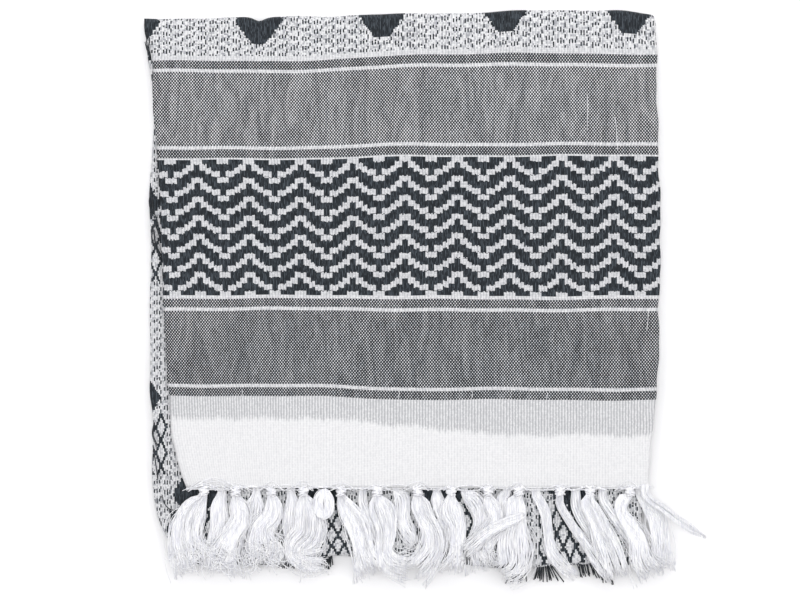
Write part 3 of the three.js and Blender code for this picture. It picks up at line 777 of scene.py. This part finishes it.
fringe = {
    "strandsPerMm": 4.6,      # threads across a tassel, for each mm of its width
    "threadRadius": 0.29,
    "plyRadius": 1.0,         # the bundle inside, so that nothing shows through
    "thickness": 2.8,
    "firstTier": 10.1,        # middle height of the tassels that lie on the field
    "tierPitch": 2.2,
    "rootDrop": 2.2,          # from the hem down to the middle of a knot
    "knotRadius": 3.4,
    "knotThread": 0.85,
    "points": 18,
    "overhangX": 178, "overhangY": -197, "overhangSlope": 0.14,
}

# every tassel: where it hangs, what it lies on (tier 0 the field, 1 and 2 the other tassels), whether
# its knot shows in front, how curly its tip is, and its way as (down, sideways, width)
tassels = [
    dict(node="tassel_01", root=-143.5, tier=1, knot=True, curl=0.75, fluff=34,
         way=[(10.8, -6, 18), (23, -12, 21.6), (35, -13, 23), (46, -9, 27), (55, -4, 33)]),
    dict(node="tassel_02", root=-130.5, tier=0, knot=False, curl=0.1,
         way=[(10.8, -2, 10), (23, -2, 11.5), (35, -5.5, 11), (54, -12, 14)]),
    dict(node="tassel_02", root=-120.5, tier=1, knot=True, curl=0.7, fluff=34,
         way=[(10.8, 1.8, 14), (19.4, 3.4, 14.7), (31.7, -3.4, 13), (46, -9, 24), (60, -12, 33)]),
    dict(node="tassel_03", root=-105.8, tier=0, knot=False, curl=0.1,
         way=[(10.8, -1.4, 14.4), (23, -2.9, 11.8), (37.4, -4.3, 9.6)]),
    dict(node="tassel_04", root=-95.0, tier=1, knot=True, curl=1.3, fluff=60,
         way=[(8.6, 1.4, 11), (17.3, 0.7, 14), (26.6, -6.5, 16), (34, -7, 22), (43, -4.5, 28),
              (54, -4, 24)]),
    dict(node="tassel_05", root=-80.6, tier=0, knot=False, curl=0.1,
         way=[(8.6, 0.7, 10), (23, 0, 11.5), (37.4, 0.7, 10)]),
    dict(node="tassel_06", root=-71.6, tier=1, knot=True, curl=0.5, fluff=16,
         way=[(8.6, 1.5, 14), (20, 3, 22), (31, 2, 24), (40, -6, 20), (46, -5, 17), (49, 4, 18),
              (48, 15, 16)]),
    dict(node="tassel_08", root=-44.6, tier=1, knot=True, curl=0.45,
         way=[(8.6, 2.2, 10), (17.3, 6.5, 16), (30, 12.2, 16), (41, 15.8, 16), (60.5, 24.5, 26)]),
    dict(node="tassel_09", root=-29.5, tier=0, knot=False, curl=0.1,
         way=[(7.2, 0, 6.5), (15.8, 2.9, 6.5), (26.6, 7.2, 5.8), (41, 10, 5)]),
    dict(node="tassel_10", root=-18.7, tier=1, knot=True, curl=0.2,
         way=[(8.6, 0.7, 15), (17.3, 4.2, 19), (30, 6.8, 15), (43, 5.5, 13), (51, 10, 17), (56, 24, 20)]),
    dict(node="tassel_11", root=-4.3, tier=0, knot=False, curl=0.1,
         way=[(2.9, 2.2, 11.5), (10.8, 4.3, 11.5), (19.4, 3.6, 10), (30, 7.9, 10), (40, 15, 8.6)]),
    dict(node="tassel_12", root=10.4, tier=1, knot=True, curl=0.5,
         way=[(8.6, 1.1, 13), (19.4, 5.4, 14), (30, 11, 16.5), (41, 11.5, 18), (51, 5, 19), (59, -4, 24)]),
    dict(node="tassel_13", root=24.5, tier=0, knot=False, curl=0.1,
         way=[(5, 0, 8.6), (15.8, 2.9, 8.6), (26.6, 6.5, 10), (44, 10.8, 10)]),
    dict(node="tassel_14", root=34.6, tier=1, knot=True, curl=0.6,
         way=[(13, 0, 16), (23, 3.6, 12.5), (33.8, 4.3, 11), (46, 2.9, 12.5), (58, -0.7, 23)]),
    dict(node="tassel_15", root=44.6, tier=0, knot=False, curl=0.1,
         way=[(5, 5, 14.4), (14.4, 10.8, 13), (23, 11.5, 10), (33.8, 7.2, 9), (41, 2.2, 8)]),
    dict(node="tassel_16", root=61.2, tier=1, knot=True, curl=0.6,
         way=[(8.6, 1.4, 11), (17.3, 5.8, 10), (30, 1.4, 13), (42, -5, 17), (56, -1, 24)]),
    dict(node="tassel_17", root=74.2, tier=0, knot=False, curl=0.1,
         way=[(2.9, -1.4, 7), (12.2, -2.9, 7.2), (25, -4.3, 6)]),
    dict(node="tassel_18", root=83.2, tier=1, knot=True, curl=0.35,
         way=[(8.6, -1.8, 14.4), (19.4, -1.8, 17), (33.8, -4.2, 25), (44.6, -3.8, 26),
              (54, -3.5, 22), (61, -12, 17)]),
    dict(node="tassel_19", root=87, tier=2, knot=False, curl=0.6, plain=True,
         way=[(16.6, 0.5, 2.4), (18.6, -3.0, 6), (22, -11, 7.6), (26, -19, 7.8), (33.5, -31, 8),
              (38, -36, 8.4),
              (43.5, -43, 9)]),
    dict(node="tassel_20", root=95.8, tier=0, knot=False, curl=0.05,
         way=[(8.6, 3.6, 6.8), (15.8, 6.5, 7.4), (30, 8.6, 7.2), (44.6, 12.2, 8.2),
              (53, 18.7, 8.8), (62.6, 30, 7)]),
    dict(node="tassel_21", root=113, tier=1, knot=True, curl=0.1,
         way=[(8.6, -0.4, 6), (15.8, 2.9, 6), (23, 7.2, 6), (37.4, 17.3, 6), (52, 27.4, 7),
              (65.5, 37.4, 4.3)]),
    dict(node="tassel_22", root=124.6, tier=0, knot=False, curl=0.05,
         way=[(8.6, 0, 6.8), (17.3, 2.9, 6.8), (30, 10, 6), (40, 16, 5)]),
    dict(node="tassel_23", root=134.6, tier=2, knot=True, curl=0.15,
         way=[(7.2, -1.4, 11.5), (15.8, 2.9, 13.5), (30, 8.6, 15), (44.6, 15, 17.5), (62.6, 21.6, 17)]),
    dict(node="tassel_24", root=144, tier=0, knot=False, curl=0.05,
         way=[(6.5, 0.7, 6.8), (15.8, 6.5, 6.8), (28.8, 15, 6.8), (43, 24.5, 6.5), (55.4, 28.8, 5)]),
    dict(node="tassel_25", root=163.4, tier=1, knot=True, curl=0.6,
         way=[(6.5, -5.8, 10), (13.7, -7.2, 9), (23, -1.4, 10), (37.4, 6.8, 13), (50, 8.8, 17),
              (63, 16.4, 25)]),
    dict(node="tassel_26", root=170.6, tier=0, knot=False, curl=0.3,
         way=[(8.6, 5.8, 11.5), (19.4, 12.2, 16), (33.8, 15, 16), (59, 15.8, 18.7)]),
    dict(node="tassel_27", root=174.2, tier=2, knot=False, curl=0.1,
         way=[(6.5, 3.6, 6), (12.2, 12.2, 5.8), (21.6, 25.2, 4.3), (30, 37.4, 3), (33.8, 44.6, 1.5)]),
]
loopTassel = dict(node="tassel_07", x=-56.9, y=-154.5, halfWidth=7.4, halfHeight=11.0, threads=60)


def droop(x, y):
    # what lies past the edge of the folded cloth hangs down
    return fringe["overhangSlope"] * (np.maximum(0, x - fringe["overhangX"])
                                      + np.maximum(0, fringe["overhangY"] - y))


def smoothWay(rows, count):
    # an evenly spaced smooth curve through the rows, which are (x, y, width)
    rows = np.array(rows, float)
    steps = np.concatenate([[0], np.cumsum(np.hypot(*np.diff(rows[:, :2], axis=0).T))])
    table = [dict(at=steps[i], x=rows[i, 0], y=rows[i, 1], width=rows[i, 2]) for i in range(len(rows))]
    at = np.linspace(0, steps[-1], count)
    return np.stack([curveThrough(table, "at", column)(at) for column in ("x", "y", "width")], axis=1)


def knotWays(x, y, z, dice):
    # an overhand knot: a few thick turns round the neck of the tassel, each at its own slant
    ways = []
    radius, threadRadius = fringe["knotRadius"], fringe["knotThread"]
    along = np.linspace(-1, 1, 9)
    core = np.stack([np.full(9, x), y + along * (radius + 0.3), np.full(9, z - 0.4)], axis=1)
    ways.append((core, radius * np.sqrt(1.02 - along ** 2) + 0.1))
    for turn in range(7):
        tilt = dice.uniform(-0.75, 0.75)
        lift = (turn - 3) * 0.95 + dice.uniform(-0.2, 0.2)
        angle = np.linspace(0, 2 * math.pi, 17) + dice.uniform(0, 6)
        ringRadius = radius * math.sqrt(1 - (lift / 3.9) ** 2)
        ways.append((np.stack([
            x + ringRadius * np.cos(angle) + 0.3 * np.sin(2 * angle),
            y + lift + tilt * ringRadius * np.cos(angle),
            z + ringRadius * 0.72 * np.sin(angle)], axis=1), threadRadius * dice.uniform(0.7, 0.9)))
    return ways


def tasselWays(row, dice):
    x0, y0 = row["root"], layers["hemY"] - fringe["rootDrop"]
    neck = 4.6 if row["knot"] else 6.0
    rows = [(x0, y0 + (0.5 if row["knot"] else 5.0), neck * 0.9), (x0, y0 - 2.2, neck)]
    rows += [(x0 + side, layers["hemY"] - 2.2 - down, width) for down, side, width in row["way"]]
    if row.get("plain"):
        rows = rows[2:]
    middle = smoothWay(rows, fringe["points"])
    count = len(middle)
    t = np.linspace(0, 1, count)
    ahead = np.gradient(middle[:, :2], axis=0)
    ahead /= np.linalg.norm(ahead, axis=1, keepdims=True)
    aside = np.stack([-ahead[:, 1], ahead[:, 0]], axis=1)
    width = middle[:, 2]
    baseZ = fringe["firstTier"] + row["tier"] * fringe["tierPitch"]
    strands = int(fringe["strandsPerMm"] * max(5, np.mean(width)))
    swell = np.clip(0.55 + 0.6 * np.sin(math.pi * np.clip(t * 1.15, 0, 1)), 0.3, 1.15)
    ways = []

    # threads lie in locks that cross each other a little
    locks = max(3, int(np.mean(width) / 2.6))
    lockPhase = [dice.uniform(0, 6.3) for _ in range(locks)]
    lockSwing = [dice.uniform(0.1, 0.34) for _ in range(locks)]
    lockTurns = [dice.uniform(1.2, 2.6) for _ in range(locks)]
    lockLift = [dice.uniform(-0.6, 0.6) for _ in range(locks)]
    for number in range(strands):
        a = -1 + 2 * (number + 0.5) / strands + dice.uniform(-0.06, 0.06)
        lock = min(locks - 1, int((a + 1) / 2 * locks))
        b = dice.uniform(-1, 1)
        end = 1 - abs(dice.gauss(0, 0.045)) + (0.04 if dice.random() < 0.12 else 0)
        along = np.linspace(0, min(end, 1.04), count)
        pick = np.clip(along, 0, 1)
        beyond = along - pick
        centreX = np.interp(pick, t, middle[:, 0]) + beyond * 60 * ahead[-1, 0]
        centreY = np.interp(pick, t, middle[:, 1]) + beyond * 60 * ahead[-1, 1]
        halfWidth = np.interp(pick, t, width) / 2
        asideX, asideY = np.interp(pick, t, aside[:, 0]), np.interp(pick, t, aside[:, 1])
        swing = lockSwing[lock] * np.sin(lockTurns[lock] * math.pi * pick + lockPhase[lock]) * np.sqrt(pick)
        fray = (0.15 + row["curl"]) * pick ** 2.2
        offset = (a + swing) * halfWidth
        offset = offset + (0.14 + 1.2 * fray) * np.sin(
            dice.uniform(3, 6) * math.pi * pick + dice.uniform(0, 6.3)) * pick
        curlX = 4.2 * fray * np.sin(dice.uniform(4, 8) * math.pi * pick + dice.uniform(0, 6.3))
        roundness = np.sqrt(np.maximum(0, 1 - a * a * 0.8))
        z = (baseZ + (0.8 * b + lockLift[lock]) * 0.5 * fringe["thickness"] * roundness
            * np.interp(pick, t, swell) + 0.35 * np.sin(dice.uniform(2, 5) * math.pi * pick
                + dice.uniform(0, 6.3)) * pick)
        x, y = centreX + asideX * offset + curlX * 0.5, centreY + asideY * offset + curlX * 0.35
        radius = fringe["threadRadius"] * dice.uniform(0.8, 1.15) * np.where(along > 0.9 * end, 0.75, 1.0)
        ways.append((np.stack([x, y, z - droop(x, y)], axis=1), radius))
    # a few threads stray from the rest
    for number in range(3 + int(6 * row["curl"])):
        a = dice.choice((-1, 1)) * dice.uniform(1.0, 1.5)
        phase, speed = dice.uniform(0, 6.3), dice.uniform(2, 5)
        offset = a * width / 2 * smoothStep(t, 0.08, 0.5) + 1.2 * np.sin(speed * math.pi * t + phase) * t
        x, y = middle[:, 0] + aside[:, 0] * offset, middle[:, 1] + aside[:, 1] * offset
        z = np.full(count, baseZ) + 0.9 * dice.uniform(-0.6, 1)
        ways.append((np.stack([x, y, z - droop(x, y)], axis=1), fringe["threadRadius"] * 0.8))
    # the spun threads of some ends have opened into fluff
    for number in range(row.get("fluff", 0)):
        at = int(count * dice.uniform(0.62, 0.86))
        heading = math.atan2(ahead[at, 1], ahead[at, 0]) + dice.uniform(-0.7, 0.7)
        bend = dice.choice((-1, 1)) * dice.uniform(0.6, 2.8)
        share = np.linspace(0, 1, 9)
        length = dice.uniform(9, 17)
        across = dice.uniform(-0.5, 0.5) * width[at]
        x = middle[at, 0] + aside[at, 0] * across + np.cumsum(np.cos(heading + bend * share)) * length / 9
        y = middle[at, 1] + aside[at, 1] * across + np.cumsum(np.sin(heading + bend * share)) * length / 9
        z = baseZ + dice.uniform(0.4, 1.7) + 0.3 * np.sin(4 * share + number)
        ways.append((np.stack([x, y, z - droop(x, y)], axis=1), fringe["threadRadius"] * 1.1))
    # the plies inside
    plies = max(2, int(np.mean(width) / 1.6))
    for number in range(plies):
        a = (-1 + 2 * (number + 0.5) / plies) * 0.84
        pick = np.linspace(0, 0.93, count)
        offset = a * np.interp(pick, t, width) / 2
        x = np.interp(pick, t, middle[:, 0]) + np.interp(pick, t, aside[:, 0]) * offset
        y = np.interp(pick, t, middle[:, 1]) + np.interp(pick, t, aside[:, 1]) * offset
        thin = 1 - 0.6 * smoothStep(pick, 0.6, 0.93)
        radius = np.minimum(fringe["plyRadius"], np.interp(pick, t, width) / plies * 0.75) * thin
        ways.append((np.stack([x, y, np.full(count, baseZ - 0.2) - droop(x, y)], axis=1), radius))
    if row["knot"]:
        ways += knotWays(x0, y0, layers["top"] - 0.1, dice)
    return ways


def makeTassels(material):
    byNode = {}
    for row in tassels:
        byNode.setdefault(row["node"], []).append(row)
    pieces = []
    for number, (node, rows) in enumerate(byNode.items()):
        dice = random.Random(100 + number)
        ways = []
        for row in rows:
            ways += tasselWays(row, dice)
        pieces.append(finishPiece(sweepThreads("fringe_" + node, ways), [node], material))

    # one tassel is curled up into an oval, with its end tucked in
    dice = random.Random(90)
    ways = []
    loop = loopTassel
    angle = np.linspace(0, 2 * math.pi, 26)
    for number in range(loop["threads"]):
        share = 0.12 + 0.88 * (number + 0.5) / loop["threads"] + dice.uniform(-0.02, 0.02)
        lean = dice.uniform(-0.12, 0.12)
        wave = 0.35 * np.sin(angle * dice.choice((2, 3)) + dice.uniform(0, 6.3))
        turned = angle + dice.uniform(0, 6.3)
        x = loop["x"] + (loop["halfWidth"] * share + wave) * np.cos(turned) + lean * 3
        y = loop["y"] + (loop["halfHeight"] * (0.3 + 0.7 * share) + wave) * np.sin(turned)
        dome = 1.5 * math.sqrt(max(0, 1 - (share * 0.95) ** 2)) + dice.uniform(-0.3, 0.3)
        ways.append((np.stack([x, y, np.full_like(x, 14.0 + dome)], axis=1),
                0.3 * dice.uniform(0.85, 1.15)))
    for number in range(5):
        share = 0.15 + 0.17 * number
        x = loop["x"] + loop["halfWidth"] * share * np.cos(angle)
        y = loop["y"] + loop["halfHeight"] * (0.2 + 0.8 * share) * np.sin(angle)
        ways.append((np.stack([x, y, np.full_like(x, 13.7)], axis=1), 1.3))
    loopPiece = sweepThreads("fringe_" + loop["node"], ways)
    pieces.append(finishPiece(loopPiece, [loop["node"]], material))
    return pieces


def makeHemThreads(material):
    # the last rows of the cloth: loose threads that swoop from knot to knot along the hem
    dice = random.Random(7)
    left, right = flapEdges[-1]["left"] + 1, flapEdges[-1]["right"] - 1
    knots = [left - 1.5] + sorted(row["root"] for row in tassels if row["knot"]) + [right + 8]
    hem = layers["hemY"]
    ways = []
    for strand in range(3):
        points = []
        for start, end in zip(knots[:-1], knots[1:]):
            sag = dice.uniform(-1.4, 2.6)
            for step in range(7):
                share = step / 7
                points.append((start + (end - start) * share,
                               hem - 0.6 + 0.5 * (strand - 1) + (sag + 0.6) * math.sin(math.pi * share),
                               layers["top"] - 0.35 + 0.55 * math.sin(2.2 * step + strand)))
        ways.append((points, 0.34))
    # small loops of thread above the hem, over the knots
    for number, root in enumerate(knots[1:-1]):
        for loop in range(3):
            reach = dice.uniform(3.5, 8.5)
            spread = dice.uniform(5, 14)
            share = np.linspace(-1, 1, 13)
            x = root + spread * share + dice.uniform(-2, 2)
            y = hem - 1.9 + reach * (1 - np.abs(share) ** 1.6) * dice.choice((0.5, 0.75, 1.0))
            z = layers["top"] + 0.55 + 0.2 * np.sin(9 * share)
            ways.append((np.stack([x, y, z], axis=1), 0.27))
    # the slanting corner on the left, where the hem rises
    for number in range(6):
        share = np.linspace(0, 1, 10)
        x = left + (22 + 4 * number) * share
        y = hem - 2.5 + (6 + number) * np.sin(math.pi * share) * dice.uniform(0.5, 1.0)
        ways.append((np.stack([x, y, np.full(10, layers["top"] + 0.3 + 0.05 * number)], axis=1), 0.3))
    return finishPiece(sweepThreads("hem_threads", ways), ["hem_cord"], material)


underFringe = dict(count=27, left=-164, right=162, reach=58, strands=26, low=0.45, high=1.75)


def makeUnderFringe(material):
    dice = random.Random(21)
    ways = []
    for number in range(underFringe["count"]):
        x0 = underFringe["left"] + (underFringe["right"] - underFringe["left"]) * (
            number + 0.5) / underFringe["count"] + dice.uniform(-1.5, 1.5)
        sway = dice.uniform(-5, 5)
        for strand in range(underFringe["strands"]):
            a = dice.uniform(-1, 1)
            share = np.linspace(0, dice.uniform(0.85, 1.0), 9)
            x = x0 + sway * share ** 2 + a * (1.2 + 4.4 * np.sin(math.pi * np.clip(share * 0.62, 0, 1)))
            y = layers["lowerHemY"] + 1.2 + underFringe["reach"] * share
            z = np.full(9, dice.uniform(underFringe["low"], underFringe["high"]))
            ways.append((np.stack([x, y, z], axis=1), 0.27))
    threads = sweepThreads("under_fringe_threads", ways)
    return finishPiece(threads, ["under_fringe"], material)


# black pattern threads that came loose at the left fold, and clipped ones at the bottom fold
looseFloats = [
    [(-181.7, 71.6), (-183.2, 63.7), (-181.4, 52.9)], [(-181.2, 66), (-180.6, 58), (-177, 47)],
    [(-180.4, 44.6), (-181.4, 37.4), (-175.7, 24.8)], [(-179.5, 42.8), (-177.8, 32), (-173.2, 23)],
    [(-179.0, 47), (-175.9, 38), (-174.8, 28)],
    [(-185.8, 178.9), (-184.5, 173.9), (-182.2, 168.5)], [(-185.0, 186), (-182.8, 181), (-183.6, 174)],
    [(-174, -148), (-172, -154.5), (-167.5, -158.8), (-163.3, -159.5)],
    [(-180, -112), (-178.2, -123), (-176.5, -136)], [(-179.4, -96), (-180.6, -104), (-177.5, -113)],
]
clippedYarns = [
    dict(x0=79, x1=90, y=-203.0, length=9.5, count=15, lean=-0.45, spread=2.0),
    dict(x0=98, x1=107, y=-202.0, length=9.0, count=17, lean=0.1, spread=4.5),
    dict(x0=126, x1=142, y=-201.5, length=7.0, count=19, lean=0.5, spread=1.6),
    dict(x0=143, x1=149, y=-204.0, length=9.5, count=10, lean=0.25, spread=2.5),
    dict(x0=-91, x1=-62, y=-199.5, length=2.4, count=30, lean=0.5, spread=0.2),
    dict(x0=-57.6, x1=-51, y=-195.5, length=6.5, count=11, lean=0.1, spread=0.2),
]


# short white threads that ride up over the weave: where each runs, across x and down y
slubs = [
    dict(x=152.6, fromY=124, toY=100, lean=2.2), dict(x=132.6, fromY=141, toY=114, lean=0.4),
    dict(x=176.4, fromY=-14, toY=-30, lean=-0.5), dict(x=-116, fromY=-72.4, toY=-77.4, lean=0.2),
    dict(x=-2.9, fromY=-72.8, toY=-78, lean=0), dict(x=49.7, fromY=-73.2, toY=-78.2, lean=0.2),
    dict(x=103.7, fromY=-74, toY=-78.8, lean=0),
]


def makeSlubs(material):
    ways = []
    for row in slubs:
        share = np.linspace(0, 1, 12)
        x = row["x"] + row["lean"] * share + 0.3 * np.sin(5 * share)
        y = row["fromY"] + (row["toY"] - row["fromY"]) * share
        z = layers["top"] + creaseHeight(flapCreases, x, y) + looseness(x, y) - settle(y) + 0.16
        ways.append((np.stack([x, y, z], axis=1), 0.2))
    return finishPiece(sweepThreads("white_slubs", ways), material=material)


def makeBlackYarns(material):
    dice = random.Random(5)
    ways = []
    for points in looseFloats:
        rows = [(x, y, 1) for x, y in points]
        for strand in range(2):
            middle = smoothWay(rows, 10)
            shift = dice.uniform(-0.5, 0.5)
            top = 10.6 - 1.0 * smoothStep(np.full(10, points[0][1]), 150, 190)
            z = top + 0.7 * np.sin(np.linspace(0, math.pi, 10)) + 0.3 * strand
            ways.append((np.stack([middle[:, 0] + shift, middle[:, 1] + shift, z], axis=1), 0.34))
    floats = finishPiece(sweepThreads("loose_floats", ways), material=material)
    ways = []
    for row in clippedYarns:
        for number in range(row["count"]):
            share = (number + 0.5) / row["count"]
            x = row["x0"] + (row["x1"] - row["x0"]) * share + dice.uniform(-0.6, 0.6)
            length = row["length"] * dice.uniform(0.55, 1.1)
            lean = row["lean"] + (share - 0.5) * row["spread"] * 0.3 + dice.uniform(-0.25, 0.25)
            t = np.linspace(0, 1, 5)
            y = row["y"] + 3.0 - (length + 3.0) * t
            z = 6.2 - 1.6 * t + dice.uniform(-0.8, 0.8)
            bend = dice.uniform(-0.8, 0.8)
            ways.append((np.stack([x + lean * length * t + bend * t * t, y, z], axis=1), 0.42))
    clipped = finishPiece(sweepThreads("clipped_yarns", ways), material=material)
    return floats, clipped


# build everything

bandedCotton = wovenCotton("black and white cotton, banded weave", banded=True)
spottedCotton = wovenCotton("black and white cotton, spotted weave", banded=False)
# the second colour of each yarn is painted shade between its threads
whiteYarn = spunYarn("white spun cotton yarn", "#ffffff", "#e3e4ea", 0.85)
blackYarn = spunYarn("black spun cotton yarn", "#2c3238", "#14181c", 0.8)
print("materials made")

flapCloth, flapArea = makeFlap()
finishPiece(flapCloth, ["top_flap"], bandedCotton)
fieldCloth, fieldArea = makeField()
finishPiece(fieldCloth, ["field_panel"], spottedCotton)
baseCloth, baseArea = makeBase()
finishPiece(baseCloth, ["base_panel"], bandedCotton)
innerCloth, innerArea = makeInnerLayers()
finishPiece(innerCloth, ["hidden_layers"], spottedCotton)
print("cloth made", round(flapArea, 4), round(fieldArea, 4), round(baseArea, 4), round(innerArea, 4))

tasselPieces = makeTassels(whiteYarn)
hemThreads = makeHemThreads(whiteYarn)
underFringePiece = makeUnderFringe(whiteYarn)
looseFloatsPiece, clippedYarnsPiece = makeBlackYarns(blackYarn)
slubsPiece = makeSlubs(whiteYarn)
print("fringe made", sum(len(piece.data.polygons) for piece in tasselPieces), "faces in the tassels")


# a white table top
floorSize = 6.0
bpy.ops.object.select_all(action='DESELECT')
bpy.ops.mesh.primitive_grid_add(
    size=floorSize, x_subdivisions=12, y_subdivisions=12, location=(0, 0, -0.0005))
floor = bpy.context.object
floor.name = "floor"
# matt white paper: an even pale ground that takes soft shadows
paper = bpy.data.materials.new("matt white paper")
paper.use_nodes = True
paperShader = paper.node_tree.nodes["Principled BSDF"]
paperShader.inputs['Base Color'].default_value = toLinear("#ffffff")
paperShader.inputs['Roughness'].default_value = 0.95
paperShader.inputs['Specular IOR Level'].default_value = 0.1
floor.data.materials.append(paper)

studio = {
    "sideX": 1.7, "sideZ": 1.9, "sideSize": 1.6, "sidePower": 12.5,
    "backPower": 11.5, "topPower": 18.6, "topZ": 2.4, "worldStrength": 0.49,
    "cameraX": -0.0022, "cameraY": -0.0076, "cameraHeight": 1.5, "lens": 93.75,
}


def softbox(name, place, size, power):
    # a square lamp that points at the middle of the scarf
    bpy.ops.object.light_add(type='AREA', location=place)
    lamp = bpy.context.object
    lamp.name = name
    lamp.data.shape = 'SQUARE'
    lamp.data.size = size
    lamp.data.energy = power
    lamp.rotation_euler = (Vector((0, 0, 0)) - Vector(place)).to_track_quat('-Z', 'Y').to_euler()


softbox("left softbox", (-studio["sideX"], 0.2, studio["sideZ"]), studio["sideSize"], studio["sidePower"])
softbox("right softbox", (studio["sideX"], 0.2, studio["sideZ"]), studio["sideSize"], studio["sidePower"])
softbox("top softbox", (0, 0.1, studio["topZ"]), 1.2, studio["topPower"])
softbox("back softbox", (0, studio["sideX"], 1.1), 0.9, studio["backPower"])

world = bpy.data.worlds.new("white studio")
bpy.context.scene.world = world
world.use_nodes = True
world.node_tree.nodes["Background"].inputs['Color'].default_value = (0.975, 0.965, 1, 1)
world.node_tree.nodes["Background"].inputs['Strength'].default_value = studio["worldStrength"]

cameraZ = studio["cameraHeight"] + layers["top"] * mm
bpy.ops.object.camera_add(location=(studio["cameraX"], studio["cameraY"], cameraZ), rotation=(0, 0, 0))
camera = bpy.context.object
camera.data.lens = studio["lens"]
camera.data.clip_start = 0.05
bpy.context.scene.camera = camera
bpy.context.scene.view_settings.view_transform = 'Standard'
print("studio made")
